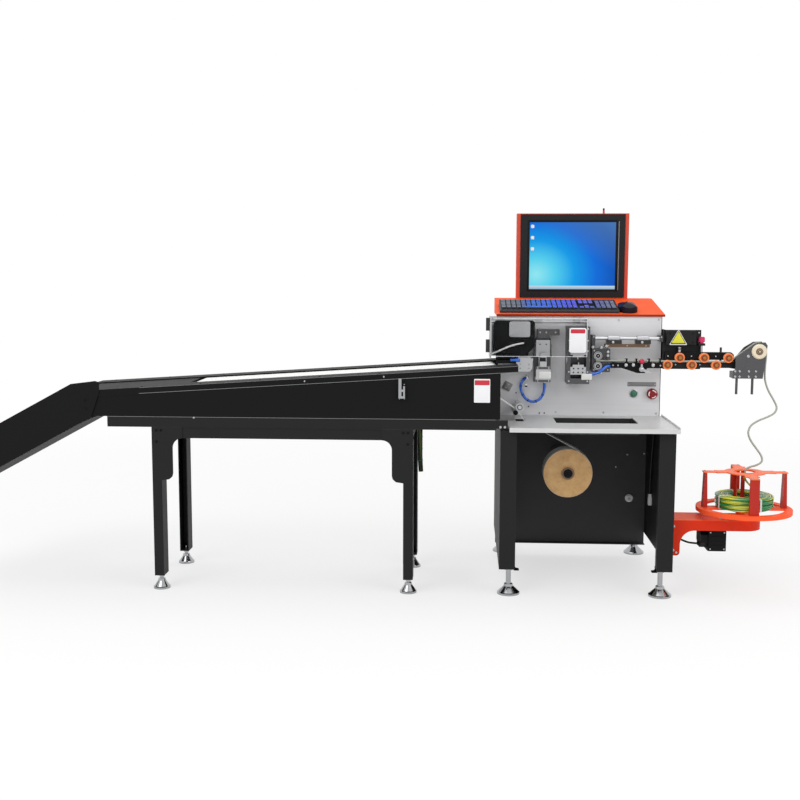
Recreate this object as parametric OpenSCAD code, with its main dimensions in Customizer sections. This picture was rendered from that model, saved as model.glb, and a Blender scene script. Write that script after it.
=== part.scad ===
// Wire cutting and stripping machine with an outlet conveyor and a driven wire reel.
// Lengths are in millimetres. X runs along the wire from the conveyor to the reel, Y runs from the
// operator's side to the back, and Z is up. Sizes are written in the cabinet's frame, with X and Y at
// the cabinet's front left corner. The last step moves everything so that the origin lies on the floor
// under the middle of the whole machine.

/* [Cabinet] */
// Width of the cabinet
cab_w = 600; // [590:1:612]
// Depth of the cabinet
cab_d = 690; // [680:1:720]
// Height of the cabinet's top edge above the floor
cab_top = 585; // [560:1:610]
// Height of the cabinet's bottom edge above the floor
cab_floor = 96; // [80:1:120]
// Width of the front posts
post_w = 56; // [48:1:64]
// Depth of the return bend behind a front post
post_return = 26; // [15:1:35]
// Thickness of the cabinet's sheet metal
sheet = 3; // [2:0.5:4]
// Width of the flanges that carry the tray and the head
flange_w = 40; // [36:1:50]
// Distance of the back panel behind the cabinet's front
back_y = 600; // [560:1:620]
// Height of the back panel's lower edge above the floor
back_floor = 50; // [44:1:96]

/* [Levelling feet] */
// Radius of a cabinet foot
foot_r = 40; // [30:1:45]
// Radius of a cabinet foot's stud
foot_stud_r = 9; // [6:0.5:11]
// Radius of a bench foot
bench_foot_r = 30; // [24:1:36]
// Radius of a bench foot's stud
bench_stud_r = 6; // [4:0.5:8]
// Height of a foot's cone
foot_cone_h = 36; // [26:1:42]

/* [Work tray] */
// Height of the tray's top above the cabinet
tray_h = 15; // [12:1:20]
// Thickness of the tray's sheet
tray_t = 4; // [3:0.5:5]
// Distance that the tray stands out in front of the cabinet
tray_front = 30; // [15:1:34]
// Distance of the tray's front left corner from the cabinet's left side
tray_inset = 30; // [28:1:34]
// Distance of the tray's rear left corner from the cabinet's left side
tray_left = 3; // [1:1:12]
// Distance that the tray stands out past the cabinet's right side
tray_right = 8; // [5:1:12]
// Width of the scrap pan in the tray
pan_w = 295; // [200:1:300]
// Depth of the scrap pan from front to back
pan_d = 164; // [100:1:170]
// Distance of the scrap pan's floor below the cabinet's top edge
pan_drop = 25; // [12:1:32]

/* [Tape roll] */
// Outer radius of the tape roll
roll_r = 88; // [60:1:95]
// Width of the tape roll
roll_w = 80; // [60:1:85]
// Radius of the hole in the tape roll
roll_bore_r = 17.5; // [14:0.5:22]
// Place of the roll's axis from the cabinet's left side
roll_x = 248; // [230:1:260]
// Height of the roll's axis above the floor
roll_z = 412; // [400:1:440]
// Distance of the roll's front face behind the cabinet's front
roll_y = 155; // [120:1:170]
// Radius of the tape's guide roller
guide_r = 15; // [13:0.5:15]
// Thickness of the tape
tape_t = 1.2; // [1:0.1:2]

/* [Head] */
// Distance of the head's front behind the cabinet's front
head_y = 340; // [330:1:350]
// Height of the head above the cabinet's top edge
head_h = 385; // [375:1:400]
// Thickness of the front plate
plate_t = 8; // [6:1:10]
// Distance that the front plate stands out past the cabinet's left side
plate_left = 36; // [34:1:38]
// Distance of the front plate's right edge from the cabinet's right side
plate_right = 4; // [1:1:8]
// Rise of the deck from its front edge to the monitor
deck_rise = 52; // [30:1:60]
// Depth of the level ledge that carries the monitor
ledge_d = 58; // [56:1:70]
// Distance that the deck lid stands out past the head's sides
lid_over = 8; // [5:1:12]
// Height of the lid's front edge
lid_lip = 8; // [6:1:14]
// Radius of the stop button's head
stop_r = 20; // [15:1:23]
// Radius of the start button
start_r = 11.5; // [8:0.5:13]

/* [Monitor] */
// Width of the screen's visible glass
screen_w = 337; // [320:1:352]
// Height of the screen's visible glass
screen_h = 262; // [240:1:268]
// Width of the bezel
bezel_w = 409; // [403:1:418]
// Height of the bezel
bezel_h = 326; // [318:1:330]
// Depth of the monitor's case
case_d = 50; // [40:1:54]
// Width of the orange housing's left margin
margin_left = 14; // [6:1:20]
// Width of the orange housing's right margin
margin_right = 14; // [8:1:18]
// Thickness of the orange housing's top and bottom
margin_top = 3; // [2:0.5:5]
// Place of the monitor housing's left side from the cabinet's left side
monitor_x = 76; // [60:1:100]

/* [Keyboard and mouse] */
// Width of the keyboard's frame beside the keys
kb_edge = 6; // [4:1:9]
// Depth of the keyboard's frame behind the keys
kb_rear = 14; // [10:1:18]
// Distance between two keys
key_pitch = 19; // [18:0.5:19]
// Gap between two keys
key_gap = 2; // [1.5:0.5:3]
// Gap beside the block of arrow keys
block_gap = 5; // [3:0.5:7]
// Travel of the space bar
key_travel = 3.5; // [2:0.5:4]
// Width of the mouse
mouse_w = 68; // [58:1:72]
// Length of the mouse
mouse_l = 105; // [95:1:115]
// Height of the mouse
mouse_h = 32; // [30:1:38]

/* [Wire line] */
// Distance of the wire behind the cabinet's front
wire_y = 262; // [258:1:264]
// Height of the wire above the tray
wire_up = 210; // [208:1:216]
// Radius of the wire
wire_r = 3.5; // [2.5:0.5:4]

/* [Safety cover] */
// Thickness of the cover's clear sheet
cover_t = 3; // [2:0.5:4]
// Height of the cover's front
cover_h = 137; // [120:1:140]
// Distance of the cover's front behind the cabinet's front
cover_y = 200; // [190:1:206]
// Place of the cover's right edge from the cabinet's left side
cover_x1 = 312; // [306:1:326]
// Radius of the cover's hinge pin
cover_pin_r = 4; // [3:0.5:4.5]
// Radius of the cover's hinge knuckles
knuckle_r = 8; // [6.5:0.5:8]

/* [Outlet] */
// Travel of the press block
press_travel = 7.2; // [4:0.2:7.4]
// Width of the press block
press_w = 50; // [46:1:51]
// Radius of the press block's rods
press_rod_r = 3.5; // [2.5:0.5:4]

/* [Cutter] */
// Width of the cutter column
column_w = 81; // [78:1:84]
// Travel of each blade holder
blade_travel = 7; // [5:0.5:7.5]
// Thickness of a blade
blade_t = 3; // [2:0.5:4]
// Width of a blade from front to back
blade_w = 26; // [20:1:28]

/* [Inlet] */
// Radius of a feed wheel
feed_r = 15; // [12:0.5:16]
// Width of a feed wheel
feed_w = 16; // [12:1:18]
// Radius of a feed wheel's shaft
feed_shaft_r = 5; // [4:0.5:6]
// Radius of the guide rod
rod_r = 6; // [4:0.5:7]
// Width of the slider on the guide rod
slider_w = 164; // [150:1:170]
// Travel of the slider each way
slider_travel = 28; // [10:1:29]
// Length of the inlet bar
bar_l = 186; // [176:1:186]
// Radius of the clamp lever's ball
ball_r = 10; // [8:0.5:11]

/* [Straightener] */
// Outer radius of a straightening roller
roller_r = 17.5; // [16:0.5:18]
// Width of a straightening roller
roller_w = 15; // [12:0.5:16]
// Distance between two rollers on one bar
roller_pitch = 87; // [84:1:87]
// Height between the wire and a roller's axis
roller_off = 13; // [11.5:0.5:14]
// Radius of a roller's axle
axle_r = 4; // [3:0.5:5]
// Thickness of the straightener's back plate
back_t = 8; // [6:1:10]
// Lift of the upper bar
bar_lift = 6; // [4:0.5:8]
// Width of the straightener's panel
panel_w = 134; // [120:1:145]
// Height of the straightener's panel above the wire
panel_h = 112; // [104:1:124]
// Radius of the pressure screw's knob
knob_r = 11; // [8:0.5:12]

/* [Guide pulley] */
// Radius of the wire's path round the pulley
pulley_path_r = 30; // [28:0.5:31]
// Radius of the pulley's front cap
cap_r = 27; // [22:1:27]
// Place of the pulley's axis from the cabinet's right side
pulley_out = 330; // [326:1:336]

/* [Reel] */
// Radius of the turntable
table_r = 165; // [160:1:175]
// Place of the reel's axis from the cabinet's right side
reel_out = 266; // [255:1:270]
// Distance of the reel's axis behind the cabinet's front
reel_y = 125; // [120:1:135]
// Height of the turntable's top above the floor
table_z = 304; // [290:1:320]
// Thickness of the turntable's plate
table_t = 8; // [6:1:10]
// Height of the reel's posts
post_h = 124; // [110:1:140]
// Width of the reel's arm
arm_w = 130; // [120:1:136]
// Height of the reel's arm
arm_h = 37; // [30:1:44]
// Height of the arm's bracket
bracket_h = 127; // [118:1:140]
// Width of the arm's bracket
bracket_w = 34; // [28:1:48]
// Outer radius of the coil of wire
coil_r = 101; // [90:1:115]
// Height of the coil of wire
coil_h = 46; // [36:1:56]
// Radius of the hole in the coil of wire
coil_bore_r = 50; // [44:1:56]

/* [Bench] */
// Depth of the conveyor and its bench
bench_d = 410; // [400:1:420]
// Height of the bench top
bench_h = 37; // [30:1:44]
// Length of the bench top
bench_l = 1365; // [1340:1:1380]
// Distance of the bench top's right end from the cabinet's left side
bench_gap = 15; // [10:1:20]
// Height of the bench's frame below its top
apron_h = 39; // [30:1:46]
// Width of a bench leg
leg_w = 34; // [28:1:40]
// Depth of a bench leg
leg_d = 60; // [50:1:70]
// Height of the bench legs' lower end above the floor
leg_floor = 52; // [46:1:60]
// Distance between the outer faces of the left and right legs
leg_span = 921; // [880:1:940]
// Distance of the right legs' outer face from the cabinet's left side
leg_gap = 302; // [290:1:320]

/* [Conveyor] */
// Length of the conveyor
conv_l = 1498; // [1480:1:1510]
// Distance of the conveyor's right end from the cabinet's left side
conv_gap = 2; // [1:1:5]
// Slope of the conveyor in degrees
slope = 3.65; // [2.5:0.05:3.9]
// Height of the belt under the wire, measured at the cabinet's left side
belt_drop = 7; // [5:1:10]
// Width of the belt
belt_w = 190; // [170:1:200]
// Thickness of the belt
belt_t = 2; // [1:0.5:3]
// Radius of the drive drum and of the tail tube
drum_r = 24; // [20:1:28]
// Length of the belt between its two turns
belt_l = 1058; // [1000:1:1064]
// Width of a rail
rail_w = 95; // [85:1:98]
// Height of a rail
rail_h = 22; // [18:1:26]
// Distance of the rail's top above the belt
rail_up = 4; // [2:0.5:6]

/* [Chute] */
// Slope of the chute in degrees
chute_slope = 28.5; // [24:0.5:32]
// Length of the chute on the flat
chute_run = 491; // [440:1:520]
// Height of the chute's walls
chute_wall = 155; // [140:1:176]

/* [Latch] */
// Length of the latch lever
latch_l = 66; // [56:1:76]
// Width of the latch lever
latch_w = 22; // [16:1:26]

/* [Fits] */
// Clearance between pieces that stand side by side
gap = 0.3; // [0.2:0.05:0.5]
// Clearance in the radius of a running shaft or pin
run = 0.06; // [0.02:0.01:0.1]

/* [Hidden] */
$fn = 64;
eps = 0.01;

black = [0.10, 0.10, 0.11];
orange = [0.93, 0.30, 0.13];
grey = [0.62, 0.63, 0.65];
silver = [0.80, 0.81, 0.83];

// Levels and planes that several pieces share
tray_top = cab_top + tray_h;
plate_f = head_y - plate_t;
head_top = cab_top + head_h;
wire_z = tray_top + wire_up;
lid_front = plate_f - 6;
lid_back = cab_d + 4;
lid_base = head_top - 2;
ledge_y = lid_back - ledge_d;
deck_z = lid_base + lid_lip;
ledge_z = deck_z + deck_rise;
deck_angle = atan(deck_rise / (ledge_y - lid_front));
foot_in = 35;
foot_front = 45;
foot_rear = cab_d - 40;
pad_w = 50;
pad_t = 6;
reel_x = cab_w + reel_out;
pulley_x = cab_w + pulley_out;
pulley_z = wire_z + 38;
conv_x1 = -conv_gap;
conv_x0 = conv_x1 - conv_l;
bench_x1 = -bench_gap;
bench_x0 = bench_x1 - bench_l;
bench_top_z = cab_top + 39;
bench_leg_top = bench_top_z - bench_h;
leg_x1 = -leg_gap;
leg_x0 = leg_x1 - leg_span;
belt_z0 = wire_z - belt_drop;
chute_x1 = conv_x0 + 21;
chute_x0 = chute_x1 - chute_run;
mid_x = (chute_x0 + reel_x + table_r) / 2;
mid_y = (reel_y - table_r + lid_back) / 2;

// Height of the belt's top at a place along the conveyor
function belt_z(x) = belt_z0 + x * tan(slope);

// Points on a circle arc from angle a0 to a1
function arc(cx, cy, r, a0, a1, n) =
    [for (i = [0:n]) [cx + r * cos(a0 + (a1 - a0) * i / n), cy + r * sin(a0 + (a1 - a0) * i / n)]];

// Moves a piece from the cabinet's frame to the part's frame
module place() {
    translate([-mid_x, -mid_y, 0]) children();
}

// Extrudes an outline drawn in X and Z from y0 to y1
module side(y0, y1) {
    translate([0, y1, 0]) rotate([90, 0, 0]) linear_extrude(y1 - y0) children();
}

// Extrudes an outline drawn in Y and Z from x0 to x1
module across(x0, x1) {
    translate([x0, 0, 0]) rotate([90, 0, 90]) linear_extrude(x1 - x0) children();
}

// Box given by its low and high corners
module box(a, b) {
    translate(a) cube([b[0] - a[0], b[1] - a[1], b[2] - a[2]]);
}

// Cylinder along Y from y0 to y1
module rod_y(x, z, r, y0, y1) {
    translate([x, y1, z]) rotate([90, 0, 0]) cylinder(h = y1 - y0, r = r);
}

// Cylinder along X from x0 to x1
module rod_x(y, z, r, x0, x1) {
    translate([x0, y, z]) rotate([0, 90, 0]) cylinder(h = x1 - x0, r = r);
}

// Rectangle with round corners, its low corner at the origin
module rounded(w, h, r) {
    translate([r, 0]) square([w - 2 * r, h]);
    translate([0, r]) square([w, h - 2 * r]);
    for (x = [r, w - r], y = [r, h - r]) translate([x, y]) circle(r);
}

// Tube swept along points, with sides faces round it
function unit(v) = v / norm(v);
function tangent(p, i) = unit(p[min(i + 1, len(p) - 1)] - p[max(i - 1, 0)]);
function first_side(t) = unit(cross(t, abs(t[2]) > 0.9 ? [1, 0, 0] : [0, 0, 1]));
function carried(p, i, s) = unit(s - (s * tangent(p, i)) * tangent(p, i));
function sides_of(p, i = 0, done = []) =
    i == len(p) ? done :
    sides_of(p, i + 1, concat(done, [i == 0 ? first_side(tangent(p, 0)) : carried(p, i, done[i - 1])]));
module tube(p, r, sides) {
    s = sides_of(p);
    n = len(p);
    rings = [for (i = [0:n - 1]) for (k = [0:sides - 1])
        p[i] + r * (cos(360 * k / sides) * s[i] + sin(360 * k / sides) * cross(tangent(p, i), s[i]))];
    walls = [for (i = [0:n - 2]) for (k = [0:sides - 1])
        let (a = i * sides + k, b = i * sides + (k + 1) % sides) [a, b, b + sides, a + sides]];
    ends = [[for (k = [0:sides - 1]) sides - 1 - k], [for (k = [0:sides - 1]) (n - 1) * sides + k]];
    polyhedron(points = rings, faces = [for (f = concat(walls, ends)) [for (j = [len(f) - 1:-1:0]) f[j]]]);
}

// Smooth curve through hand-set points, with steps points between two of them
function spline(p, i, t) =
    let (a = p[max(i - 1, 0)], b = p[i], c = p[i + 1], d = p[min(i + 2, len(p) - 1)])
    0.5 * (2 * b + (c - a) * t + (2 * a - 5 * b + 4 * c - d) * t * t + (3 * b - a - 3 * c + d) * t * t * t);
function route(p, steps) =
    concat([for (i = [0:len(p) - 2]) for (k = [0:steps - 1]) spline(p, i, k / steps)], [p[len(p) - 1]]);

// Routes of the cords in the cabinet's frame
wire_points = [
    [866, 125, 430], [868.4, 125, 440], [885, 130, 448], [909, 139, 453], [929, 149, 464], [929, 158, 483],
    [914, 168, 507], [896, 178, 534], [888, 187, 560], [899, 198, 585], [927, 208, 602], [960, 218, 614],
    [988, 228, 628], [998, 237, 648], [987, 246, 676], [970, 254, 708], [959, 260, 745], [958, 262, 785],
    [960, 262, 822], [960, 262, 848]
];
outlet_hose = [
    [105, 338, 740], [104, 330, 740], [98, 321, 738], [89, 315, 729], [83, 312, 710], [86, 310, 688],
    [97, 309, 669], [114, 308, 656], [134, 306, 653], [154, 306, 664], [166, 307, 684], [170, 308, 708],
    [170, 308, 729.7]
];
inlet_hose = [
    [327.3, 253, 762], [337, 253, 762], [350, 250, 764], [363, 248, 770], [376, 250, 780], [386, 255, 788],
    [395, 258, 791], [403.7, 258, 791]
];
signal_cable = [
    [-29, 252, 834], [-8, 250, 842], [14, 248, 852], [38, 247, 862], [62, 247, 869], [84, 250, 873], [92, 255, 874]
];
motor_lead = [
    [603.3, 150, 196], [612, 150, 196], [630, 148, 191], [652, 142, 180], [676, 133, 172], [699, 128, 170],
    [711.7, 128, 170]
];
bundle = [
    [-292, 372, 620.7], [-292, 372, 600], [-292, 371, 560], [-292, 370, 520], [-292, 370, 480], [-292, 369, 440],
    [-291, 369, 410], [-290, 370, 390], [-289, 371, 374]
];
inner_lead = [
    [592, 397, 581.7], [592, 398, 560], [591.5, 401, 530], [591, 407, 495], [590.5, 414, 460], [590, 423, 425],
    [590, 432, 385], [590, 439, 345], [590, 443, 310], [590, 443, 280]
];

// Folded side of the cabinet, drawn as the left one
module cabinet_side() {
    h = cab_top - cab_floor;
    difference() {
        union() {
            box([0, 0, cab_floor], [sheet, cab_d, cab_top]);
            box([0, 0, cab_floor], [post_w, sheet, cab_top]);
            box([post_w - sheet, 0, cab_floor], [post_w, post_return, cab_top]);
            box([0, cab_d - sheet, cab_floor], [flange_w, cab_d, cab_top]);
            box([0, 0, cab_top - sheet], [flange_w, cab_d, cab_top]);
            for (y = [foot_front, foot_rear])
                box([0, y - pad_w / 2, cab_floor], [foot_in + pad_w / 2 - 8, y + pad_w / 2 - 12, cab_floor + pad_t]);
        }
        for (y = [foot_front, foot_rear])
            translate([foot_in, y - 6, cab_floor - 1]) cylinder(h = pad_t + 2, r = foot_stud_r + 0.2);
    }
}

module cabinet_left_side() {
    color(black) place() cabinet_side();
}

module cabinet_right_side() {
    color(black) place() translate([cab_w, 0, 0]) mirror([1, 0, 0]) cabinet_side();
}

module cabinet_back() {
    bend = 25;
    roll_back = roll_y + roll_w;
    color(black) place() {
        box([sheet, back_y, back_floor], [cab_w - sheet, back_y + sheet, cab_top - sheet]);
        box([sheet, back_y - bend, back_floor], [cab_w - sheet, back_y, back_floor + sheet]);
        box([flange_w + 10, back_y - bend, cab_top - 2 * sheet], [cab_w - flange_w - 10, back_y, cab_top - sheet]);
        rod_y(roll_x, roll_z, 2 * roll_bore_r, back_y - 8, back_y);
        rod_y(roll_x, roll_z, roll_bore_r + 7, roll_back + gap, roll_back + gap + 6);
        rod_y(roll_x, roll_z, roll_bore_r - run, roll_y - gap - 3, back_y);
        rod_y(roll_x, roll_z, roll_bore_r + 4, roll_y - gap - 4, roll_y - gap);
    }
}

// Foot with its cone, lock nut and stud, standing on the floor
module foot(r, h, stud_r, pad) {
    nut_h = 10;
    rotate_extrude() polygon(concat(
        [[0, 0], [r, 0], [r, 7], [r - 3, 9], [stud_r + 8, foot_cone_h - 8], [stud_r + 6, foot_cone_h]],
        [[stud_r, foot_cone_h], [stud_r, h + pad + 12], [stud_r - 1.5, h + pad + 14], [0, h + pad + 14]]));
    translate([0, 0, h - nut_h]) cylinder(h = nut_h, r = stud_r * 1.75, $fn = 6);
}

module levelling_feet() {
    color(silver) place() {
        for (x = [foot_in, cab_w - foot_in], y = [foot_front, foot_rear])
            translate([x, y - 6, 0]) foot(foot_r, cab_floor, foot_stud_r, pad_t);
        for (x = [leg_x0 + leg_w / 2, leg_x1 - leg_w / 2], y = [leg_d / 2, bench_d - leg_d / 2])
            translate([x, y, 0]) foot(bench_foot_r, leg_floor, bench_stud_r, sheet);
    }
}

// The tray's own places
tray_x1 = cab_w + tray_right;
pan_x = roll_x - 51;
pan_y = 112;
roll_back = roll_y + roll_w;
slot_x1 = 93;
slot_w = 34;

// Left edge of the tray, moved dx to the right
function tray_edge(dx) =
    [[tray_left + dx, plate_f], [tray_left + dx, 151], [tray_inset + dx, 35], [tray_inset + dx, -tray_front]];

module work_tray() {
    rib_y = plate_f - 20;
    left = tray_edge(0);
    inner = tray_edge(sheet);
    color(grey) place() {
        difference() {
            union() {
                translate([0, 0, tray_top - tray_t]) linear_extrude(tray_t)
                    polygon(concat(left, [[tray_x1, -tray_front], [tray_x1, plate_f]]));
                translate([0, 0, cab_top]) linear_extrude(tray_h)
                    polygon([left[0], left[1], left[2], left[3], inner[3], inner[2], inner[1], inner[0]]);
                box([tray_inset, -tray_front, cab_top], [tray_x1, -tray_front + sheet, tray_top]);
                box([tray_x1 - sheet, -tray_front, cab_top], [tray_x1, plate_f, tray_top + 6]);
                box([cab_w - 18, 0, cab_top], [cab_w - 15, rib_y, tray_top]);
                box([pan_x, pan_y, cab_top - pan_drop], [pan_x + pan_w, pan_y + pan_d, tray_top]);
            }
            box([pan_x + sheet, pan_y + sheet, cab_top - pan_drop + sheet],
                [pan_x + pan_w - sheet, pan_y + pan_d - sheet, tray_top + 1]);
            box([slot_x1 - slot_w, roll_y - 5, cab_top - 1], [slot_x1, roll_back + 5, tray_top + 1]);
        }
    }
}

module tape_roll() {
    color([0.72, 0.58, 0.42]) place() translate([roll_x, roll_back, roll_z]) rotate([90, 0, 0])
        rotate_extrude() polygon([
            [roll_bore_r, 0], [roll_r - 3, 0], [roll_r, 3], [roll_r, roll_w - 3], [roll_r - 3, roll_w],
            [roll_bore_r, roll_w]]);
}

// The tape runs from the roll past the slot's edge, over a fixed pin and under a roller
guide_x = 73;
guide_z = tray_top + 48.5;
pin_x = 58;
tape_pin_z = tray_top + 29;
tape_pin_r = 9.5;
tape_y0 = roll_y + 12;
tape_y1 = roll_back - 12;
tape_end = [3, tray_top + 78];

module tape_roller() {
    color(silver) place() difference() {
        union() {
            rod_y(guide_x, guide_z, guide_r - 3, tape_y0, tape_y1);
            for (y = [tape_y0 - 4, tape_y1]) rod_y(guide_x, guide_z, guide_r, y, y + 4);
        }
        rod_y(guide_x, guide_z, axle_r + run, tape_y0 - 5, tape_y1 + 5);
    }
}

// Angle of a line that touches the circle at c with radius r on its left, going to it from p or on to p
function touch(p, c, r) = atan2(c[1] - p[1], c[0] - p[0]) - asin(r / norm(c - p));
function leave(p, c, r) = atan2(p[1] - c[1], p[0] - c[0]) + asin(r / norm(c - p));
function touch_length(p, c, r) = sqrt(pow(norm(c - p), 2) - r * r);

module paper_tape() {
    slot = [slot_x1 - gap, tray_top - tray_t - gap];
    roll = [roll_x, roll_z];
    pin = [pin_x, tape_pin_z];
    inner = tape_pin_r + gap;
    outer = inner + tape_t;
    roll_outer = roll_r + gap + tape_t;
    a0 = leave(slot, roll, roll_outer);
    a1 = touch(slot, pin, outer);
    a2 = leave(tape_end, pin, outer);
    start = slot - touch_length(slot, roll, roll_outer) * [cos(a0), sin(a0)];
    bend = (a0 + a1) / 2 + 90;
    color([0.92, 0.92, 0.90]) place() side(tape_y0 + gap, tape_y1 - gap) polygon(concat(
        [start, slot], arc(pin[0], pin[1], outer, a1 - 90, a2 - 90, 4), [tape_end],
        [tape_end + tape_t * [cos(a2 + 90), sin(a2 + 90)]], arc(pin[0], pin[1], inner, a2 - 90, a1 - 90, 4),
        [slot + tape_t / cos((a0 - a1) / 2) * [cos(bend), sin(bend)]],
        [start + tape_t * [cos(a0 + 90), sin(a0 + 90)]]));
}

module head_housing() {
    slot_w = 110;
    color(black) place() difference() {
        box([0, head_y, cab_top], [cab_w, cab_d, head_top]);
        box([sheet, head_y - 1, cab_top + sheet], [cab_w - sheet, cab_d - sheet, head_top - sheet]);
        for (x = [cab_w * 0.25, cab_w * 0.75], i = [0:6])
            box([x - slot_w / 2, cab_d - sheet - 1, cab_top + 90 + 22 * i],
                [x + slot_w / 2, cab_d + 1, cab_top + 98 + 22 * i]);
    }
}

// Places of the operator's buttons from the cabinet's left side and above the tray
start_x = cab_w - 99;
stop_x = cab_w - 33;
button_z = tray_top + 84;
stop_neck_r = 11;

module front_plate() {
    color(grey) place() difference() {
        union() {
            box([-plate_left, plate_f, tray_top - tray_t], [cab_w - plate_right, head_y, head_top]);
            rod_y(start_x, button_z, start_r + 4, plate_f - 3, plate_f);
            rod_y(stop_x, button_z, stop_neck_r + 6, plate_f - 5, plate_f);
            rod_y(guide_x, guide_z, axle_r, tape_y0 - 7, plate_f);
            rod_y(guide_x, guide_z, axle_r + 3, tape_y0 - 8, tape_y0 - 4 - gap);
            rod_y(guide_x, guide_z, axle_r + 4, tape_y1 + 4 + gap, plate_f);
            rod_y(pin_x, tape_pin_z, tape_pin_r, tape_y0 - 4, plate_f);
            side(plate_f - 4, plate_f) translate([34, tray_top + 108]) rotate(-28) square(32, center = true);
        }
        rod_y(start_x, button_z, start_r + gap, plate_f - 6, head_y + 1);
        rod_y(stop_x, button_z, stop_neck_r + gap, plate_f - 6, head_y + 1);
        for (p = [[114, 31, 3], [154, 7, 3], [173, 7, 3], [67, 82, 3], [105, 140, 5.3], [104, 108.5, 5]])
            rod_y(p[0], tray_top + p[1], p[2], plate_f - 1, head_y + 1);
        box([-plate_left - 1, plate_f - 1, tray_top - tray_t - 1], [gap - conv_gap, head_y + 1, belt_z0 + 18]);
        box([-plate_left - 1, plate_f - 1, lid_base - gap], [gap + sheet - lid_over, head_y + 1, head_top + 1]);
    }
}

module start_button() {
    color([0.15, 0.62, 0.40]) place() {
        rod_y(start_x, button_z, start_r, plate_f - 7, head_y - 1);
        rod_y(start_x, button_z, start_r - 2, plate_f - 8, plate_f - 7);
    }
}

module stop_button() {
    color([0.78, 0.10, 0.12]) place() translate([stop_x, plate_f - 10, button_z]) rotate([90, 0, 0])
        rotate_extrude() polygon(concat(
            [[0, -plate_t - 9], [stop_neck_r, -plate_t - 9], [stop_neck_r, 0], [stop_r, 0], [stop_r, 6]],
            arc(stop_r - 8, 6, 8, 0, 90, 6), [[0, 14]]));
}

// Folded lid with its sloping deck and the level ledge behind it
module deck_lid() {
    t = sheet;
    x0 = -lid_over;
    x1 = cab_w + lid_over;
    low = deck_z - t / cos(deck_angle);
    color(orange) place() {
        difference() {
            across(x0, x1) polygon([
                [lid_front, lid_base], [lid_front, deck_z], [ledge_y, ledge_z], [lid_back, ledge_z],
                [lid_back, lid_base]]);
            across(x0 + t, x1 - t) polygon([
                [lid_front + t, lid_base - 1], [lid_front + t, low + t * tan(deck_angle)],
                [ledge_y, ledge_z - t / cos(deck_angle)], [lid_back - t, ledge_z - t / cos(deck_angle)],
                [lid_back - t, lid_base - 1]]);
        }
        for (x = [x0 + t, x1 - t - 18])
            box([x, head_y + 10, head_top], [x + 18, cab_d - 10, head_top + t]);
    }
}

// The monitor stands on the ledge
bezel_x = monitor_x + margin_left + gap;
bezel_z = ledge_z + margin_top;
monitor_y = ledge_y + 1;
house_w = bezel_w + 2 * gap + margin_left + margin_right;
house_h = bezel_h + gap + 2 * margin_top;
screen_x = bezel_x + (bezel_w - screen_w) / 2;
screen_z = bezel_z + (bezel_h - screen_h) / 2 + 1;
panel_edge = 3.5;

module monitor_housing() {
    color(orange) place() {
        difference() {
            box([monitor_x, monitor_y, ledge_z], [monitor_x + house_w, lid_back - 2, ledge_z + house_h]);
            box([bezel_x - gap, monitor_y - 1, bezel_z],
                [bezel_x + bezel_w + gap, lid_back - 5, bezel_z + bezel_h + gap]);
        }
        translate([monitor_x + house_w * 0.78, lid_back - 25, ledge_z + house_h]) cylinder(h = 13, r = 4);
    }
}

module monitor_bezel() {
    step = 7;
    color(black) place() difference() {
        translate([bezel_x, 0, bezel_z]) side(monitor_y - 3, monitor_y - 3 + case_d) rounded(bezel_w, bezel_h, 10);
        box([screen_x - step, monitor_y - 4, screen_z - step],
            [screen_x + screen_w + step, monitor_y, screen_z + screen_h + step]);
        box([screen_x, monitor_y - 4, screen_z], [screen_x + screen_w, monitor_y + 5, screen_z + screen_h]);
        box([screen_x - panel_edge - gap, monitor_y + 4, screen_z - panel_edge],
            [screen_x + screen_w + panel_edge + gap, monitor_y + case_d - 8, screen_z + screen_h + panel_edge + gap]);
    }
}

module screen_panel() {
    color([0.12, 0.45, 0.75]) place() box([screen_x - panel_edge, monitor_y + 4, screen_z - panel_edge],
        [screen_x + screen_w + panel_edge, monitor_y + 9, screen_z + screen_h + panel_edge]);
}

// Puts a piece on the sloping deck, d up the slope from the lid's front edge
module on_deck(x, d) {
    translate([x, lid_front, deck_z]) rotate([deck_angle, 0, 0]) translate([0, d, 0]) children();
}

kb_x = 4;
kb_front = 22;
kb_rows = 6;
kb_cols = 22;
kb_low = 11;
kb_high = 20;
row_d = key_pitch * 1.12;
rows_y = 18;
kb_w = kb_cols * key_pitch + 2 * block_gap + 2 * kb_edge;
kb_d = rows_y + kb_rows * row_d + kb_rear;
keys_x = kb_edge;
space_x = keys_x + 4 * key_pitch;
space_w = 6 * key_pitch - key_gap;
arrow_col = 15;
number_col = 18;
function kb_top(y) = kb_low + (kb_high - kb_low) * y / kb_d;

// Left side of a column of keys, past the gaps beside the arrow keys
function key_x(c) = keys_x + c * key_pitch + (c >= arrow_col ? block_gap : 0) + (c >= number_col ? block_gap : 0);

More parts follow.
